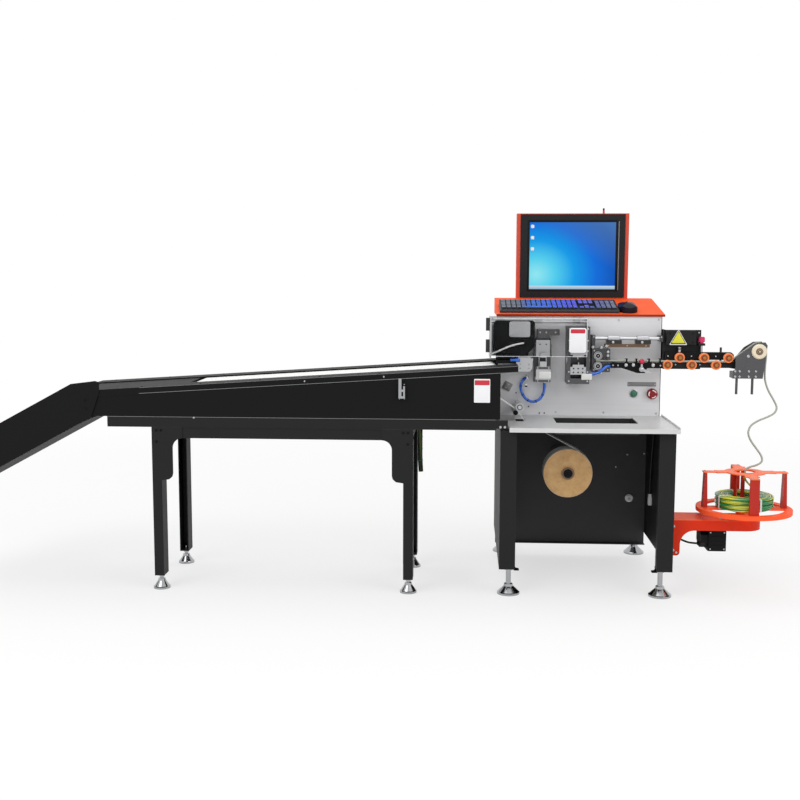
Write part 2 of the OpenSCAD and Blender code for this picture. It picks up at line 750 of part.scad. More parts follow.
module keyboard() {
    key_d = row_d - key_gap;
    color(black) place() on_deck(kb_x, kb_front) difference() {
        union() {
            across(0, kb_w) polygon([[0, 0], [kb_d, 0], [kb_d, kb_high], [4, kb_low], [0, kb_low - 4]]);
            for (r = [0:kb_rows - 1])
                box([keys_x, rows_y + r * row_d, 3],
                    [key_x(kb_cols) - key_gap, rows_y + r * row_d + key_d, kb_top(rows_y + r * row_d) + 6]);
        }
        for (c = [1:kb_cols - 1])
            box([key_x(c - 1) + key_pitch - key_gap, rows_y - 1, kb_top(rows_y)],
                [key_x(c), rows_y + kb_rows * row_d, kb_high + 20]);
        for (k = [[arrow_col, 1, 1], [arrow_col + 2, 1, 1], [arrow_col, 2, 3], [number_col, 5, 4]])
            box([key_x(k[0]) - key_gap, rows_y + k[1] * row_d - key_gap, kb_top(rows_y + k[1] * row_d)],
                [key_x(k[0] + k[2] - 1) + key_pitch, rows_y + (k[1] + 1) * row_d, kb_high + 20]);
        box([space_x - gap, rows_y - gap, 4], [space_x + space_w + gap, rows_y + key_d + gap, 40]);
        box([space_x - 2, rows_y - 2, kb_top(rows_y)],
            [space_x + space_w + 2, rows_y + key_d + key_gap, 40]);
    }
}

module space_bar() {
    color([0.16, 0.17, 0.20]) place() on_deck(kb_x, kb_front)
        box([space_x, rows_y, 4 + key_travel + gap],
            [space_x + space_w, rows_y + row_d - key_gap, kb_top(rows_y) + 6]);
}

mouse_x = kb_x + kb_w + 2 + mouse_w / 2;
mouse_front = 20;
button_cut = 0.53;

// Outer form of the mouse, standing on the deck with its lower end at the origin
module mouse_form() {
    r = mouse_w / 2;
    long_r = 95;
    wide_r = 46;
    intersection() {
        linear_extrude(mouse_h + 1) union() {
            translate([-r, r]) square([mouse_w, mouse_l - 2 * r]);
            for (y = [r, mouse_l - r]) translate([0, y]) circle(r);
        }
        rod_x(mouse_l / 2 - 6, mouse_h - long_r, long_r, -r - 1, r + 1);
        rod_y(0, mouse_h - wide_r, wide_r, -1, mouse_l + 1);
    }
}

module mouse_body() {
    color(black) place() on_deck(mouse_x, mouse_front) difference() {
        mouse_form();
        box([-mouse_w, mouse_l * button_cut, mouse_h * 0.42], [mouse_w, mouse_l + 1, mouse_h + 1]);
    }
}

module mouse_buttons() {
    color([0.2, 0.2, 0.22]) place() on_deck(mouse_x, mouse_front) intersection() {
        mouse_form();
        box([-mouse_w, mouse_l * button_cut + 0.8, mouse_h * 0.42 + 1.9], [mouse_w, mouse_l + 1, mouse_h + 1]);
    }
}

// The safety cover turns on a pin under the lid's front edge
cover_top = head_top - 5;
pin_y = plate_f - 32;
pin_z = head_top - 22;
cover_x0 = -plate_left + 12;
end_t = 6;

module safety_cover() {
    t = cover_t;
    color([0.85, 0.92, 0.95, 0.35]) place() {
        box([cover_x0, cover_y, cover_top - cover_h], [cover_x1, cover_y + t, cover_top]);
        box([cover_x0, cover_y, cover_top - t], [cover_x1, pin_y - 6, cover_top]);
        box([cover_x1 - t, cover_y, cover_top - cover_h + 18], [cover_x1, cut_front - 3, cover_top]);
        for (x = [cover_x0 + 16, (cover_x0 + cover_x1) / 2 - 14, cover_x1 - 44]) {
            difference() {
                union() {
                    rod_x(pin_y, pin_z, knuckle_r, x, x + 28);
                    box([x, pin_y - 9, pin_z + 3], [x + 28, pin_y - 6, cover_top]);
                }
                rod_x(pin_y, pin_z, cover_pin_r + run, x - 1, x + 29);
            }
        }
    }
}

module cover_frame() {
    low = cover_top - cover_h - 6;
    x0 = -plate_left;
    color(silver) place() {
        box([x0, cover_y, low], [x0 + end_t, plate_f, head_top - 1]);
        rod_x(pin_y, pin_z, cover_pin_r, x0 + end_t, cover_x1 + 12);
        box([cover_x1 + 6, pin_y - 9, pin_z - 10], [cover_x1 + 12, plate_f, pin_z + 10]);
        for (z = [low + 20, low + 98])
            box([x0 - 14, cover_y + 8, z], [x0, cover_y + 34, z + 46]);
    }
}

// Outlet carriage with its rounded plate above the wire, and the channel that leads cut pieces to the belt
module outlet_carriage() {
    y0 = wire_y;
    z0 = wire_z;
    color(black) place() {
        difference() {
            union() {
                box([-11, y0 - 18, z0 - 11], [guide_x0 - gap, y0 + 18, z0 + 20]);
                box([3, y0 + 17, z0 - 11], [guide_x0 - gap, plate_f, z0 + 20]);
            }
            box([-12, y0 - 8, z0 - 5], [guide_x0, y0 + 8, z0 + 8]);
            box([-12, y0 - 19, z0 + 2], [guide_x0, y0, z0 + 8]);
        }
        side(y0, plate_f) polygon([
            [-20, z0 + 20], [-20, z0 + 126], [129, z0 + 126], [129, z0 + 52], [108, z0 + 28], [104, z0 + 14],
            [10, z0 + 14], [6, z0 + 20]]);
        side(y0, y0 + 20) polygon([
            [-20, z0 + 120], [-20, z0 + 138], [-12, z0 + 145], [122, z0 + 145], [129, z0 + 138], [129, z0 + 120]]);
        side(y0 - 6, y0) difference() {
            union() {
                translate([35, z0 + 85]) rounded(77, 58, 8);
                translate([62, z0 + 77]) square([24, 10]);
            }
            for (x = [54, 92]) translate([x, z0 + 121]) circle(3);
            translate([96, z0 + 84]) square([12, 7]);
        }
    }
}

press_x = 161;

module press_frame() {
    z0 = wire_z;
    half = press_w / 2 + gap;
    color(black) place() {
        box([press_x - half - 6, plate_f - 10, z0 - 84], [press_x + half + 6, plate_f, z0 + 76]);
        for (s = [-1, 1])
            box([press_x + s * (half + 3) - 3, wire_y + 24, z0 + 10],
                [press_x + s * (half + 3) + 3, plate_f - 10, z0 + 52]);
        side(wire_y + 28, plate_f) polygon([
            [press_x - 20, z0 + 79], [press_x + 24, z0 + 79], [press_x + 24, z0 + 90], [press_x + 60, z0 + 90],
            [press_x + 60, z0 + 112], [press_x - 20, z0 + 112]]);
        box([press_x - 20, plate_f - 10, z0 + 76], [press_x + 24, plate_f, z0 + 79]);
    }
}

press_y1 = plate_f - 10 - gap;
rod_in = 13;
guide_x0 = 62;
guide_x1 = 121;

module outlet_clamp() {
    z0 = wire_z;
    jaw_z = z0 - wire_r - 0.4;
    color(silver) place() {
        difference() {
            union() {
                side(wire_y - 8, plate_f - 10) translate([press_x - 26, z0 - 80]) rounded(52, 58, 4);
                box([press_x - 12, wire_y - 7, z0 - 22], [press_x + 12, wire_y + 8, jaw_z]);
            }
            for (s = [-1, 1])
                translate([press_x + s * rod_in, wire_y + 38, z0 - 62]) cylinder(h = 60, r = press_rod_r + run);
        }
        difference() {
            union() {
                side(wire_y - 18, wire_y + 38) polygon([
                    [guide_x0 + 10, z0 - 40], [guide_x1 - 10, z0 - 40], [guide_x1, z0 - 28], [guide_x1, z0 + 2],
                    [guide_x1 - 8, z0 + 12], [guide_x0 + 8, z0 + 12], [guide_x0, z0 + 2], [guide_x0, z0 - 28]]);
                box([guide_x0 + 14, wire_y + 38, z0 - 34], [guide_x1 - 14, plate_f, z0 + 6]);
            }
            rod_x(wire_y, z0, 6, guide_x0 - 1, guide_x1 + 1);
            for (x = [guide_x0 + 14, guide_x1 - 14], z = [z0 - 28, z0 - 14])
                rod_y(x, z, 3, wire_y - 19, wire_y - 12);
        }
    }
}

module press_block() {
    z0 = wire_z;
    lift = press_travel + wire_r + 0.4;
    color(grey) place() {
        difference() {
            side(wire_y + 22, press_y1) translate([press_x - press_w / 2, z0 + lift]) rounded(press_w, 62, 2);
            for (s = [-0.45, 0.45]) rod_y(press_x + s * 25, z0 + lift + 46, 2.5, wire_y + 20, wire_y + 30);
        }
        box([press_x - 11, wire_y - 7, z0 + lift], [press_x + 11, wire_y + 22, z0 + lift + 16]);
        for (s = [-1, 1])
            translate([press_x + s * rod_in, wire_y + 38, z0 - 46]) cylinder(h = 46 + lift, r = press_rod_r);
    }
}

module hoses_and_cables() {
    color([0.15, 0.35, 0.85]) place() {
        tube(route(outlet_hose, 1), 5, 8);
        tube(route(inlet_hose, 1), 5, 8);
        tube(route(signal_cable, 1), 3, 8);
        tube(route(motor_lead, 1), 3.5, 8);
        tube(route(bundle, 1), 9, 8);
        union() {
            tube(route(inner_lead, 1), 4, 8);
            box([583.5, 432, 240], [596.5, 454, 284]);
        }
    }
}

// Cutter column: two uprights with bridges, in which the blade holders slide
cut_x = 246;
cut_x1 = cut_x + column_w;
upright = 12;
cut_front = wire_y - 17;
slide_back = plate_f - 22;

module cutter_column() {
    z0 = wire_z;
    color([0.35, 0.36, 0.38]) place() difference() {
        union() {
            box([cut_x, slide_back, z0 - 84], [cut_x1, plate_f, z0 + 124]);
            for (x = [cut_x, cut_x1 - upright])
                box([x, cut_front, z0 - 84], [x + upright, slide_back, z0 + 124]);
            box([cut_x, cut_front, z0 - 84], [cut_x1, slide_back, z0 - 64]);
            box([cut_x, cut_front, z0 + 108], [cut_x1, slide_back, z0 + 124]);
        }
        rod_x(wire_y, z0, 7, cut_x - 1, cut_x1 + 1);
    }
}

// Blade holder with its notched blade: dir is 1 above the wire and -1 below it
module blade_holder(dir) {
    half = (column_w - 2 * upright) / 2 - gap;
    cx = cut_x + column_w / 2;
    z0 = wire_z;
    tip = blade_travel - 1;
    x0 = dir > 0 ? cx - blade_t - gap / 2 : cx + gap / 2;
    low = 22;
    high = 84;
    mirror_z = dir > 0 ? 0 : 1;
    translate([0, 0, z0]) mirror([0, 0, mirror_z]) {
        box([cx - half, cut_front + 2, low], [cx + half, slide_back - gap, dir > 0 ? high : 50]);
        box([cx - half + 8, cut_front + 2, low - 8], [cx + half - 8, cut_front + 30, low]);
        across(x0, x0 + blade_t) polygon([
            [wire_y - blade_w / 2, low + 6], [wire_y - blade_w / 2, tip], [wire_y, tip + 5],
            [wire_y + blade_w / 2, tip], [wire_y + blade_w / 2, low + 6]]);
    }
}

module upper_blade_holder() {
    color(silver) place() blade_holder(1);
}

module lower_blade_holder() {
    color(silver) place() blade_holder(-1);
}

// Inlet block: bearings of the feed wheels, fixed pins, and the guide rod above
feed_x = 358;
feed_off = feed_r + wire_r + gap;
inlet_x0 = 338;
inlet_x1 = 404;
rod_y0 = plate_f - 42;
rod_z = wire_z + 80;
rod_x1 = cab_w - 6;
bearing_front = wire_y + feed_w / 2 + gap;
pin_r = 3.5;

module inlet_block() {
    z0 = wire_z;
    off = pin_r + wire_r + gap;
    color([0.45, 0.46, 0.48]) place() {
        difference() {
            box([inlet_x0, bearing_front, z0 - 42], [inlet_x1, plate_f, z0 + 42]);
            for (s = [-1, 1]) rod_y(feed_x, z0 + s * feed_off, feed_shaft_r + run, bearing_front - 1, bearing_front + 31);
        }
        for (x = [384, 394]) rod_y(x, z0 + off, pin_r, wire_y - 8, bearing_front);
        for (x = [379, 389, 399]) rod_y(x, z0 - off, pin_r, wire_y - 8, bearing_front);
        box([inlet_x0, rod_y0 - 8, z0 + 42], [inlet_x0 + 12, plate_f, rod_z - 10]);
        for (x = [inlet_x0, rod_x1 - 12]) {
            difference() {
                box([x, rod_y0 - 12, rod_z - 10], [x + 12, plate_f, rod_z + 12]);
                rod_x(rod_y0, rod_z, rod_r, x - 1, x + 13);
            }
        }
        rod_x(rod_y0, rod_z, rod_r, inlet_x0, rod_x1);
    }
}

// Feed wheel with a knurled rim of small teeth and its shaft
module feed_wheel(dir) {
    teeth = 30;
    translate([feed_x, wire_y, wire_z + dir * feed_off]) rotate([90, 0, 0]) {
        difference() {
            translate([0, 0, -feed_w / 2]) cylinder(h = feed_w, r = feed_r);
            for (i = [0:teeth - 1]) rotate([0, 0, 360 * i / teeth])
                translate([feed_r, 0, -feed_w / 2 - 1]) cylinder(h = feed_w + 2, r = 0.7, $fn = 4);
        }
        translate([0, 0, feed_w / 2]) cylinder(h = 4, r = feed_r * 0.55);
        translate([0, 0, -feed_w / 2 - 28]) cylinder(h = 28, r = feed_shaft_r);
    }
}

module upper_feed_wheel() {
    color(silver) place() feed_wheel(1);
}

module lower_feed_wheel() {
    color(silver) place() feed_wheel(-1);
}

// Inlet bar under the wire, with eyelets on it and two posts to the front plate
bar_x1 = cab_w - 10;
bar_x0 = bar_x1 - bar_l;
bar_z1 = wire_z - 6;
bar_z0 = bar_z1 - 19;
lever_x = 513;
lever_z = wire_z - 28;
lever_front = wire_y - 30;

module inlet_bar() {
    color(black) place() {
        difference() {
            union() {
                side(wire_y - 12, wire_y + 20) polygon([
                    [bar_x0, bar_z0], [bar_x0, bar_z1], [bar_x1, bar_z1], [bar_x1, bar_z0],
                    [lever_x + 22, bar_z0], [lever_x + 14, bar_z0 - 18], [lever_x - 14, bar_z0 - 18],
                    [lever_x - 70, bar_z0]]);
                for (x = [bar_x0 + 54, bar_x0 + 89, bar_x0 + 134, bar_x0 + 174])
                    box([x, wire_y - 8, bar_z1], [x + 7, wire_y + 8, wire_z + 9]);
                for (x = [bar_x0 + 22, bar_x1 - 30]) rod_y(x, (bar_z0 + bar_z1) / 2, 8, wire_y + 20, plate_f);
            }
            rod_x(wire_y, wire_z, wire_r + 0.4, bar_x0 - 1, bar_x1 + 1);
        }
        rod_y(lever_x, lever_z, 3, lever_front, wire_y - 12);
    }
}

module inlet_lever() {
    y0 = lever_front + 3;
    y1 = wire_y - 12 - gap;
    color([0.75, 0.08, 0.15]) place() translate([lever_x, 0, lever_z]) {
        difference() {
            union() {
                rod_y(0, 0, 9, y0, y1);
                side(y0, y1 - 6) polygon([[-4, 0], [4, 0], [3, 20], [-3, 20]]);
                side(y0, y1 - 6) polygon([[0, 6], [0, -6], [32, -17], [35, -11]]);
            }
            rod_y(0, 0, 3 + run, y0 - 1, y1 + 1);
        }
        translate([0, (y0 + y1 - 6) / 2, 28]) sphere(ball_r);
    }
}

// Slider: two bushes on the guide rod, their blocks and the strip below them
slider_x = 384;

module rod_slider() {
    y0 = rod_y0 - 10;
    bush_r = rod_r + 4;
    color([0.30, 0.22, 0.16]) place() difference() {
        union() {
            for (x = [slider_x + 12, slider_x + 117]) {
                rod_x(rod_y0, rod_z, bush_r, x, x + 43);
                box([x - 6, y0, rod_z - 20], [x + 50, rod_y0 + 10, rod_z - 6]);
            }
            box([slider_x, y0 + 4, rod_z - 32], [slider_x + slider_w, rod_y0 + 8, rod_z - 20]);
        }
        rod_x(rod_y0, rod_z, rod_r + run, slider_x, slider_x + slider_w + 20);
    }
}

// Straightener
st_x0 = cab_w;
bar_front = wire_y + roller_w / 2 + gap;
st_back = wire_y + 34;
groove_r = wire_r + 2 * gap;
first_x = cab_w + 9;
st_x1 = first_x + 2.5 * roller_pitch + 25;
head_y0 = wire_y - roller_w / 2 - gap;
screw_x = cab_w + 134;
screw_y = wire_y + 21;
low_z0 = wire_z - roller_off - 11;
low_z1 = wire_z - 1.5;
up_z0 = wire_z + 5;
up_z1 = wire_z + 32;
pins_x = [cab_w + 55, cab_w + 203];
shelf_z = up_z1 + bar_lift + 18;

// Axle with its head for a roller at x, z
module roller_axle(x, z) {
    rod_y(x, z, axle_r, head_y0, bar_front);
    rod_y(x, z, axle_r + 3, head_y0 - 3, head_y0);
}

module straightener_frame() {
    top = wire_z + panel_h;
    color(black) place() {
        box([st_x0, st_back, low_z0 - 7], [st_x0 + panel_w, st_back + back_t, top]);
        box([st_x0, st_back + back_t, low_z0 - 7], [st_x0 + 6, head_y + 60, top]);
        difference() {
            box([st_x0 + 4, bar_front, low_z0], [st_x1, st_back, low_z1]);
            box([st_x0 + panel_w + 1, st_back - 8, low_z0 - 1], [st_x1 + 1, st_back + 1, low_z0 + 6]);
        }
        box([st_x0 + 6, wire_y + 12, up_z1 + bar_lift + 22], [screw_x - 22, st_back, top]);
        difference() {
            box([screw_x - 12, screw_y - 9, shelf_z], [screw_x + 11, st_back, shelf_z + 8]);
            translate([screw_x, screw_y, shelf_z - 1]) cylinder(h = 10, r = axle_r + run);
        }
        for (i = [0:2]) roller_axle(first_x + i * roller_pitch, wire_z - roller_off);
        for (x = pins_x)
            translate([x, screw_y, low_z1]) cylinder(h = up_z1 - low_z1 + bar_lift + 12, r = axle_r);
    }
}

module straightener_upper_bar() {
    color(black) place() {
        difference() {
            side(bar_front, st_back - gap) polygon([
                [st_x0 + 4, up_z0], [st_x1 - 8, up_z0], [st_x1 - 4, up_z0 + 6], [st_x1 - 4, up_z1 - 8],
                [st_x1 - 12, up_z1], [st_x0 + 4, up_z1]]);
            for (x = concat(pins_x, [screw_x]))
                translate([x, screw_y, up_z0 - 1]) cylinder(h = up_z1 - up_z0 + 2, r = axle_r + run);
        }
        for (i = [0:2]) roller_axle(first_x + (i + 0.5) * roller_pitch, wire_z + roller_off);
    }
}

// Grooved roller at place i along its bar: dir is 1 for the upper bar and 0 for the lower one
module grooved_roller(i, dir) {
    x = first_x + (i + dir / 2) * roller_pitch;
    z = wire_z + (2 * dir - 1) * roller_off;
    w = roller_w / 2;
    color([0.90, 0.50, 0.22]) place() translate([x, wire_y, z]) rotate([90, 0, 0]) rotate_extrude() polygon(
        concat([[axle_r + run, -w], [roller_r - 5, -w], [roller_r - 4, -w + 1], [roller_r - 1, -w + 1], [roller_r, -w + 2]],
            arc(roller_off, 0, groove_r, 240, 120, 6),
            [[roller_r, w - 2], [roller_r - 1, w - 1], [roller_r - 4, w - 1], [roller_r - 5, w], [axle_r + run, w]]));
}

module straightener_roller_1() { grooved_roller(0, 0); }
module straightener_roller_2() { grooved_roller(1, 0); }
module straightener_roller_3() { grooved_roller(2, 0); }
module straightener_roller_4() { grooved_roller(0, 1); }
module straightener_roller_5() { grooved_roller(1, 1); }
module straightener_roller_6() { grooved_roller(2, 1); }

module straightener_screw() {
    knob_z = shelf_z + 8 + gap;
    color([0.80, 0.12, 0.38]) place() translate([screw_x, screw_y, 0]) {
        translate([0, 0, up_z0 + bar_lift]) cylinder(h = knob_z - up_z0 - bar_lift, r = axle_r);
        translate([0, 0, knob_z]) cylinder(h = 5, r = axle_r + 3);
        translate([0, 0, knob_z + 5]) difference() {
            cylinder(h = 17, r = knob_r);
            for (a = [0:45:315]) rotate([0, 0, a]) translate([knob_r + 1.2, 0, -1]) cylinder(h = 19, r = 2.2, $fn = 16);
        }
    }
}

// Guide pulley between two plates, with its cap in front of them
plate_y0 = wire_y - 18;
plate_y1 = plate_y0 + 5;
rear_y0 = st_back;
cap_y0 = plate_y0 - 12;
pulley_axle_r = 5;

module pulley_bracket() {
    x0 = st_x1 - 12;
    z0 = wire_z;
    color([0.38, 0.39, 0.40]) place() {
        difference() {
            side(plate_y0, plate_y1) polygon([
                [x0, z0 - 60], [x0, z0 - 33], [x0 + 9, z0 - 27], [x0 + 9, z0 + 12], [x0 + 14, z0 + 22],
                [x0 + 72, z0 + 64], [x0 + 82, z0 + 70], [x0 + 112, z0 + 71], [x0 + 120, z0 + 60],
                [x0 + 107, z0 - 60]]);
            rod_y(pulley_x, pulley_z, pulley_axle_r + 3 + run, plate_y0 - 1, plate_y1 + 1);
        }
        side(rear_y0, rear_y0 + 6) polygon([
            [x0 - 26, low_z0 + 2], [x0 + 107, low_z0 - 20], [x0 + 120, z0 + 60], [x0 + 112, z0 + 71], [x0 + 82, z0 + 70],
            [x0 + 50, z0 + 50], [x0 + 12, z0 + 3], [x0 - 26, z0 - 2]]);
        box([x0 + 2, plate_y1, z0 - 60], [x0 + 104, rear_y0 + 6, z0 - 36]);
        rod_y(pulley_x, pulley_z, pulley_axle_r, wire_y - 10, rear_y0);
        for (x = [x0 + 18, x0 + 74])
            translate([x, wire_y - 4, z0 - 118]) cylinder(h = 58, r = 4.5);
    }
}

module guide_pulley() {
    w = 7;
    g = pulley_path_r - wire_r - gap;
    color([0.88, 0.84, 0.74]) place() translate([pulley_x, 0, pulley_z]) {
        difference() {
            union() {
                translate([0, wire_y, 0]) rotate([90, 0, 0]) rotate_extrude() polygon([
                    [0, -w], [g + 3.5, -w], [g + 3.5, -w + 2], [g, -2], [g, 2], [g + 3.5, w - 2], [g + 3.5, w], [0, w]]);
                rod_y(0, 0, pulley_axle_r + 3, cap_y0 + 2, wire_y - w);
            }
            rod_y(0, 0, pulley_axle_r + run, wire_y - 10 - gap, wire_y + w + 1);
        }
        translate([0, plate_y0 - gap, 0]) rotate([90, 0, 0]) rotate_extrude() polygon([
            [0, 0], [cap_r, 0], [cap_r, 4], [cap_r - 4, 8], [cap_r - 13, 8], [cap_r - 15, 6], [cap_r - 19, 6],
            [cap_r - 20, 11], [0, 11]]);
    }
}

// Reel arm: a channel bolted to the cabinet's right side
arm_y0 = reel_y - arm_w / 2;
arm_y1 = reel_y + arm_w / 2;
arm_z1 = table_z - 36;
arm_end = reel_x - 8;
spindle_r = 10;

module reel_arm() {
    t = sheet;
    x0 = cab_w;
    x1 = x0 + bracket_w;
    low = arm_z1 - bracket_h;
    hollow = 50;
    color(orange) place() {
        difference() {
            union() {
                box([x0, arm_y0, arm_z1 - arm_h], [arm_end, arm_y1, arm_z1]);
                translate([arm_end, reel_y, arm_z1 - arm_h]) cylinder(h = arm_h, r = arm_w / 2);
            }
            box([x0 - 1, arm_y0 + t, arm_z1 - arm_h - 1], [arm_end, arm_y1 - t, arm_z1 - t]);
            translate([arm_end, reel_y, arm_z1 - arm_h - 1]) cylinder(h = arm_h - t + 1, r = arm_w / 2 - t);
        }
        box([x0, arm_y0 - 10, low], [x0 + t, arm_y1 + 10, arm_z1]);
        for (y = [arm_y0, arm_y1 - t]) side(y, y + t) difference() {
            polygon(concat([[x0 + t, low]], arc(x1 - 12, low + 12, 12, 270, 360, 4),
                [[x1, arm_z1 - arm_h - hollow], [x1 + hollow, arm_z1 - arm_h], [x0 + t, arm_z1 - arm_h]]));
            translate([x1 + hollow, arm_z1 - arm_h - hollow]) circle(hollow);
        }
        translate([reel_x, reel_y, arm_z1]) rotate_extrude() polygon([
            [0, 0], [34, 0], [34, 5], [26, 7], [26, 15], [spindle_r, 15], [spindle_r, 32], [0, 32]]);
    }
}

module reel_motor() {
    x0 = cab_w + 112;
    x1 = x0 + 88;
    split = x0 + 24;
    z0 = arm_z1 - 115;
    z1 = arm_z1 - arm_h - 2;
    color(black) place() {
        box([x0, reel_y - 48, z1], [x1 + 4, reel_y + 48, arm_z1 - sheet]);
        across(x0, split) translate([reel_y, (z0 + 8 + z1) / 2]) polygon([
            for (a = [22.5:45:337.5]) [38 * cos(a) / cos(22.5), (z1 - z0 - 8) / 2 * sin(a) / cos(22.5)]]);
        translate([split, reel_y - 43, z0]) linear_extrude(z1 - z0) rounded(x1 - split, 86, 5);
        for (y = [reel_y - 45, reel_y + 43]) for (i = [0:2])
            box([split + 8, y, z0 + 12 + 16 * i], [x1 - 8, y + 2, z0 + 20 + 16 * i]);
    }
}

module turntable() {
    hub_z = arm_z1 + 15 + gap;
    color(orange) place() translate([reel_x, reel_y, 0]) difference() {
        union() {
            translate([0, 0, table_z - table_t]) cylinder(h = table_t, r = table_r);
            translate([0, 0, table_z - 14]) cylinder(h = 14, r = table_r);
            translate([0, 0, hub_z]) cylinder(h = table_z - hub_z, r = 28);
        }
        difference() {
            translate([0, 0, table_z - 15]) cylinder(h = 15 - table_t, r = table_r - 4);
            cylinder(h = table_z, r = 28);
        }
        for (a = [45:90:315]) rotate([0, 0, a]) translate([0, 0, table_z - 15]) linear_extrude(16) difference() {
            intersection() {
                circle(table_r - 27);
                rotate([0, 0, -45]) translate([20, 20]) square([table_r, table_r]);
            }
            circle(62);
        }
        translate([0, 0, hub_z - 1]) cylinder(h = 22, r = spindle_r + run);
    }
}

// Cage: four posts and the spider with its hole for the wire
post_in = table_r - 27;

module reel_cage() {
    top = table_z + post_h;
    arm = 30;
    color([0.85, 0.22, 0.10]) place() translate([reel_x, reel_y, 0]) {
        for (a = [0:90:270]) rotate([0, 0, a]) translate([post_in, 16, table_z]) rotate([90, 0, 0])
            linear_extrude(32) polygon([[-8, 0], [8, 0], [4, post_h], [-4, post_h]]);
        for (a = [85:120:325]) rotate([0, 0, a]) translate([coil_bore_r - 12, -7, table_z])
            cube([4, 14, post_h]);
        translate([0, 0, top]) linear_extrude(4) difference() {
            union() {
                circle(70);
                for (a = [0, 90]) rotate([0, 0, a]) translate([-post_in - 8, -arm / 2]) square([2 * post_in + 16, arm]);
                difference() {
                    circle(105);
                    for (a = [45:90:315]) rotate([0, 0, a]) translate([112, 0]) circle(58);
                }
            }
            circle(33);
            for (a = [0:90:270]) rotate([0, 0, a]) translate([54, 14]) circle(3);
        }
    }
}

module wire_coil() {
    z0 = table_z + gap;
    round_r = 12;
    lead_r = coil_bore_r - 2;
    lead = [
        [lead_r, -14, coil_h - 6], [lead_r - 2, 0, coil_h + 2], [lead_r - 8, 14, coil_h + 13],
        [lead_r - 21, 22, coil_h + 27], [lead_r - 36, 20, coil_h + 42], [lead_r - 45, 11, coil_h + 56],
        [1, 3, coil_h + 68], [0, 0, coil_h + 76], [0, 0, post_h + 2 - 3 * gap]];
    color([0.25, 0.60, 0.30]) place() translate([reel_x, reel_y, z0]) {
        rotate_extrude() polygon(concat(
            arc(coil_bore_r + round_r, round_r, round_r, 180, 270, 4), arc(coil_r - round_r, round_r, round_r, 270, 360, 4),
            arc(coil_r - round_r, coil_h - round_r, round_r, 0, 90, 4),
            arc(coil_bore_r + round_r, coil_h - round_r, round_r, 90, 180, 4)));
        tube(lead, wire_r, 8);
    }
}

// Wire from the reel's middle over the pulley and through the straightener to the feed wheels
entry_x = first_x + 2.5 * roller_pitch;
drop = pulley_z - wire_z - roller_off;
wrap = atan2(drop, pulley_x - entry_x) + asin((pulley_path_r + roller_off) / norm([drop, pulley_x - entry_x]));
wire_path = concat(
    route([for (p = wire_points) p + [reel_x - 866, 0, 0]], 2),
    [for (p = arc(pulley_x, pulley_z, pulley_path_r, 20, 90 + wrap, 5)) [p[0], wire_y, p[1]]],
    [for (p = arc(entry_x, wire_z + roller_off, roller_off, -90 + wrap, -90, 3)) [p[0], wire_y, p[1]]],
    [for (x = [entry_x - 60, cab_w + 60, cab_w - 40, 480, 352]) [x, wire_y, wire_z]]);

module feed_wire() {
    color([0.55, 0.65, 0.45]) place() tube(wire_path, wire_r, 8);
}

// Bench: a folded top on a frame of four angle legs
module bench_top() {
    t = sheet;
    z0 = bench_leg_top;
    color(black) place() {
        difference() {
            box([bench_x0, 0, z0], [bench_x1, bench_d, bench_top_z]);
            box([bench_x0 + t, t, z0 - 1], [bench_x1 - t, bench_d - t, bench_top_z - t]);
        }
        for (y = [t, bench_d - 2 * t]) box([leg_x0 + t, y, z0 - apron_h], [leg_x1 - t, y + t, z0 + 20]);
        for (x = [leg_x0 + t, leg_x1 - 2 * t]) box([x, 2 * t, z0 - apron_h], [x + t, bench_d - 2 * t, z0 + 20]);
        box([bench_x1, 0, bench_leg_top + 6], [tray_inset - 5, 20, bench_top_z - 4]);
    }
}

// One leg, drawn as the right front one with its outer corner at the origin, its gusset only at the front
module leg(front) {
    t = sheet;
    z1 = bench_leg_top;
    low = z1 - apron_h - 35;
    inner = -leg_w - 40;
    if (!front) box([inner - 35, 0, low + 20], [0, t, z1]);
    if (!front) box([-leg_w, 0, leg_floor], [0, t, z1]);
    if (front) side(0, t) difference() {
        polygon([
            [0, leg_floor], [0, z1], [inner - 35, z1], [inner - 35, low], [inner, low], [inner, z1 - 164],
            [inner + 3, z1 - 176], [inner + 14, z1 - 186], [-leg_w, z1 - 190], [-leg_w, leg_floor]]);
        translate([inner - 35, low]) circle(35);
    }
    for (x = [-t, -leg_w]) box([x, 0, leg_floor], [x + t, leg_d, z1 - apron_h]);
    difference() {
        box([-leg_w, t, leg_floor], [0, leg_d, leg_floor + t]);
        translate([-leg_w / 2, leg_d / 2, leg_floor - 1]) cylinder(h = t + 2, r = bench_stud_r + 0.2);
    }
}

module bench_legs() {
    color(black) place() for (x = [0, 1], y = [0, 1])
        translate([x == 0 ? leg_x0 : leg_x1, y * bench_d, 0])
            mirror([1 - x, 0, 0]) mirror([0, y, 0]) leg(y == 0);
}

// Sloping bar along the conveyor, from dz0 to dz1 above the belt's top
module ribbon(x0, x1, y0, y1, dz0, dz1) {
    side(y0, y1) polygon([
        [x0, belt_z(x0) + dz0], [x1, belt_z(x1) + dz0], [x1, belt_z(x1) + dz1], [x0, belt_z(x0) + dz1]]);
}

rail_low = rail_up - rail_h;
rail_x1 = 58;
rear_rail = bench_d - rail_w;
belt_y = (rail_w + rear_rail - belt_w) / 2;
loop_r = drum_r + belt_t + gap;
tail_x = conv_x1 - loop_r - 4;
drive_x = tail_x - belt_l * cos(slope);
bed_t = 3;
drum_shaft_r = 8;

// Middle of a drum at x, under the belt's upper run
function drum_z(x) = belt_z(x) - loop_r / cos(slope);

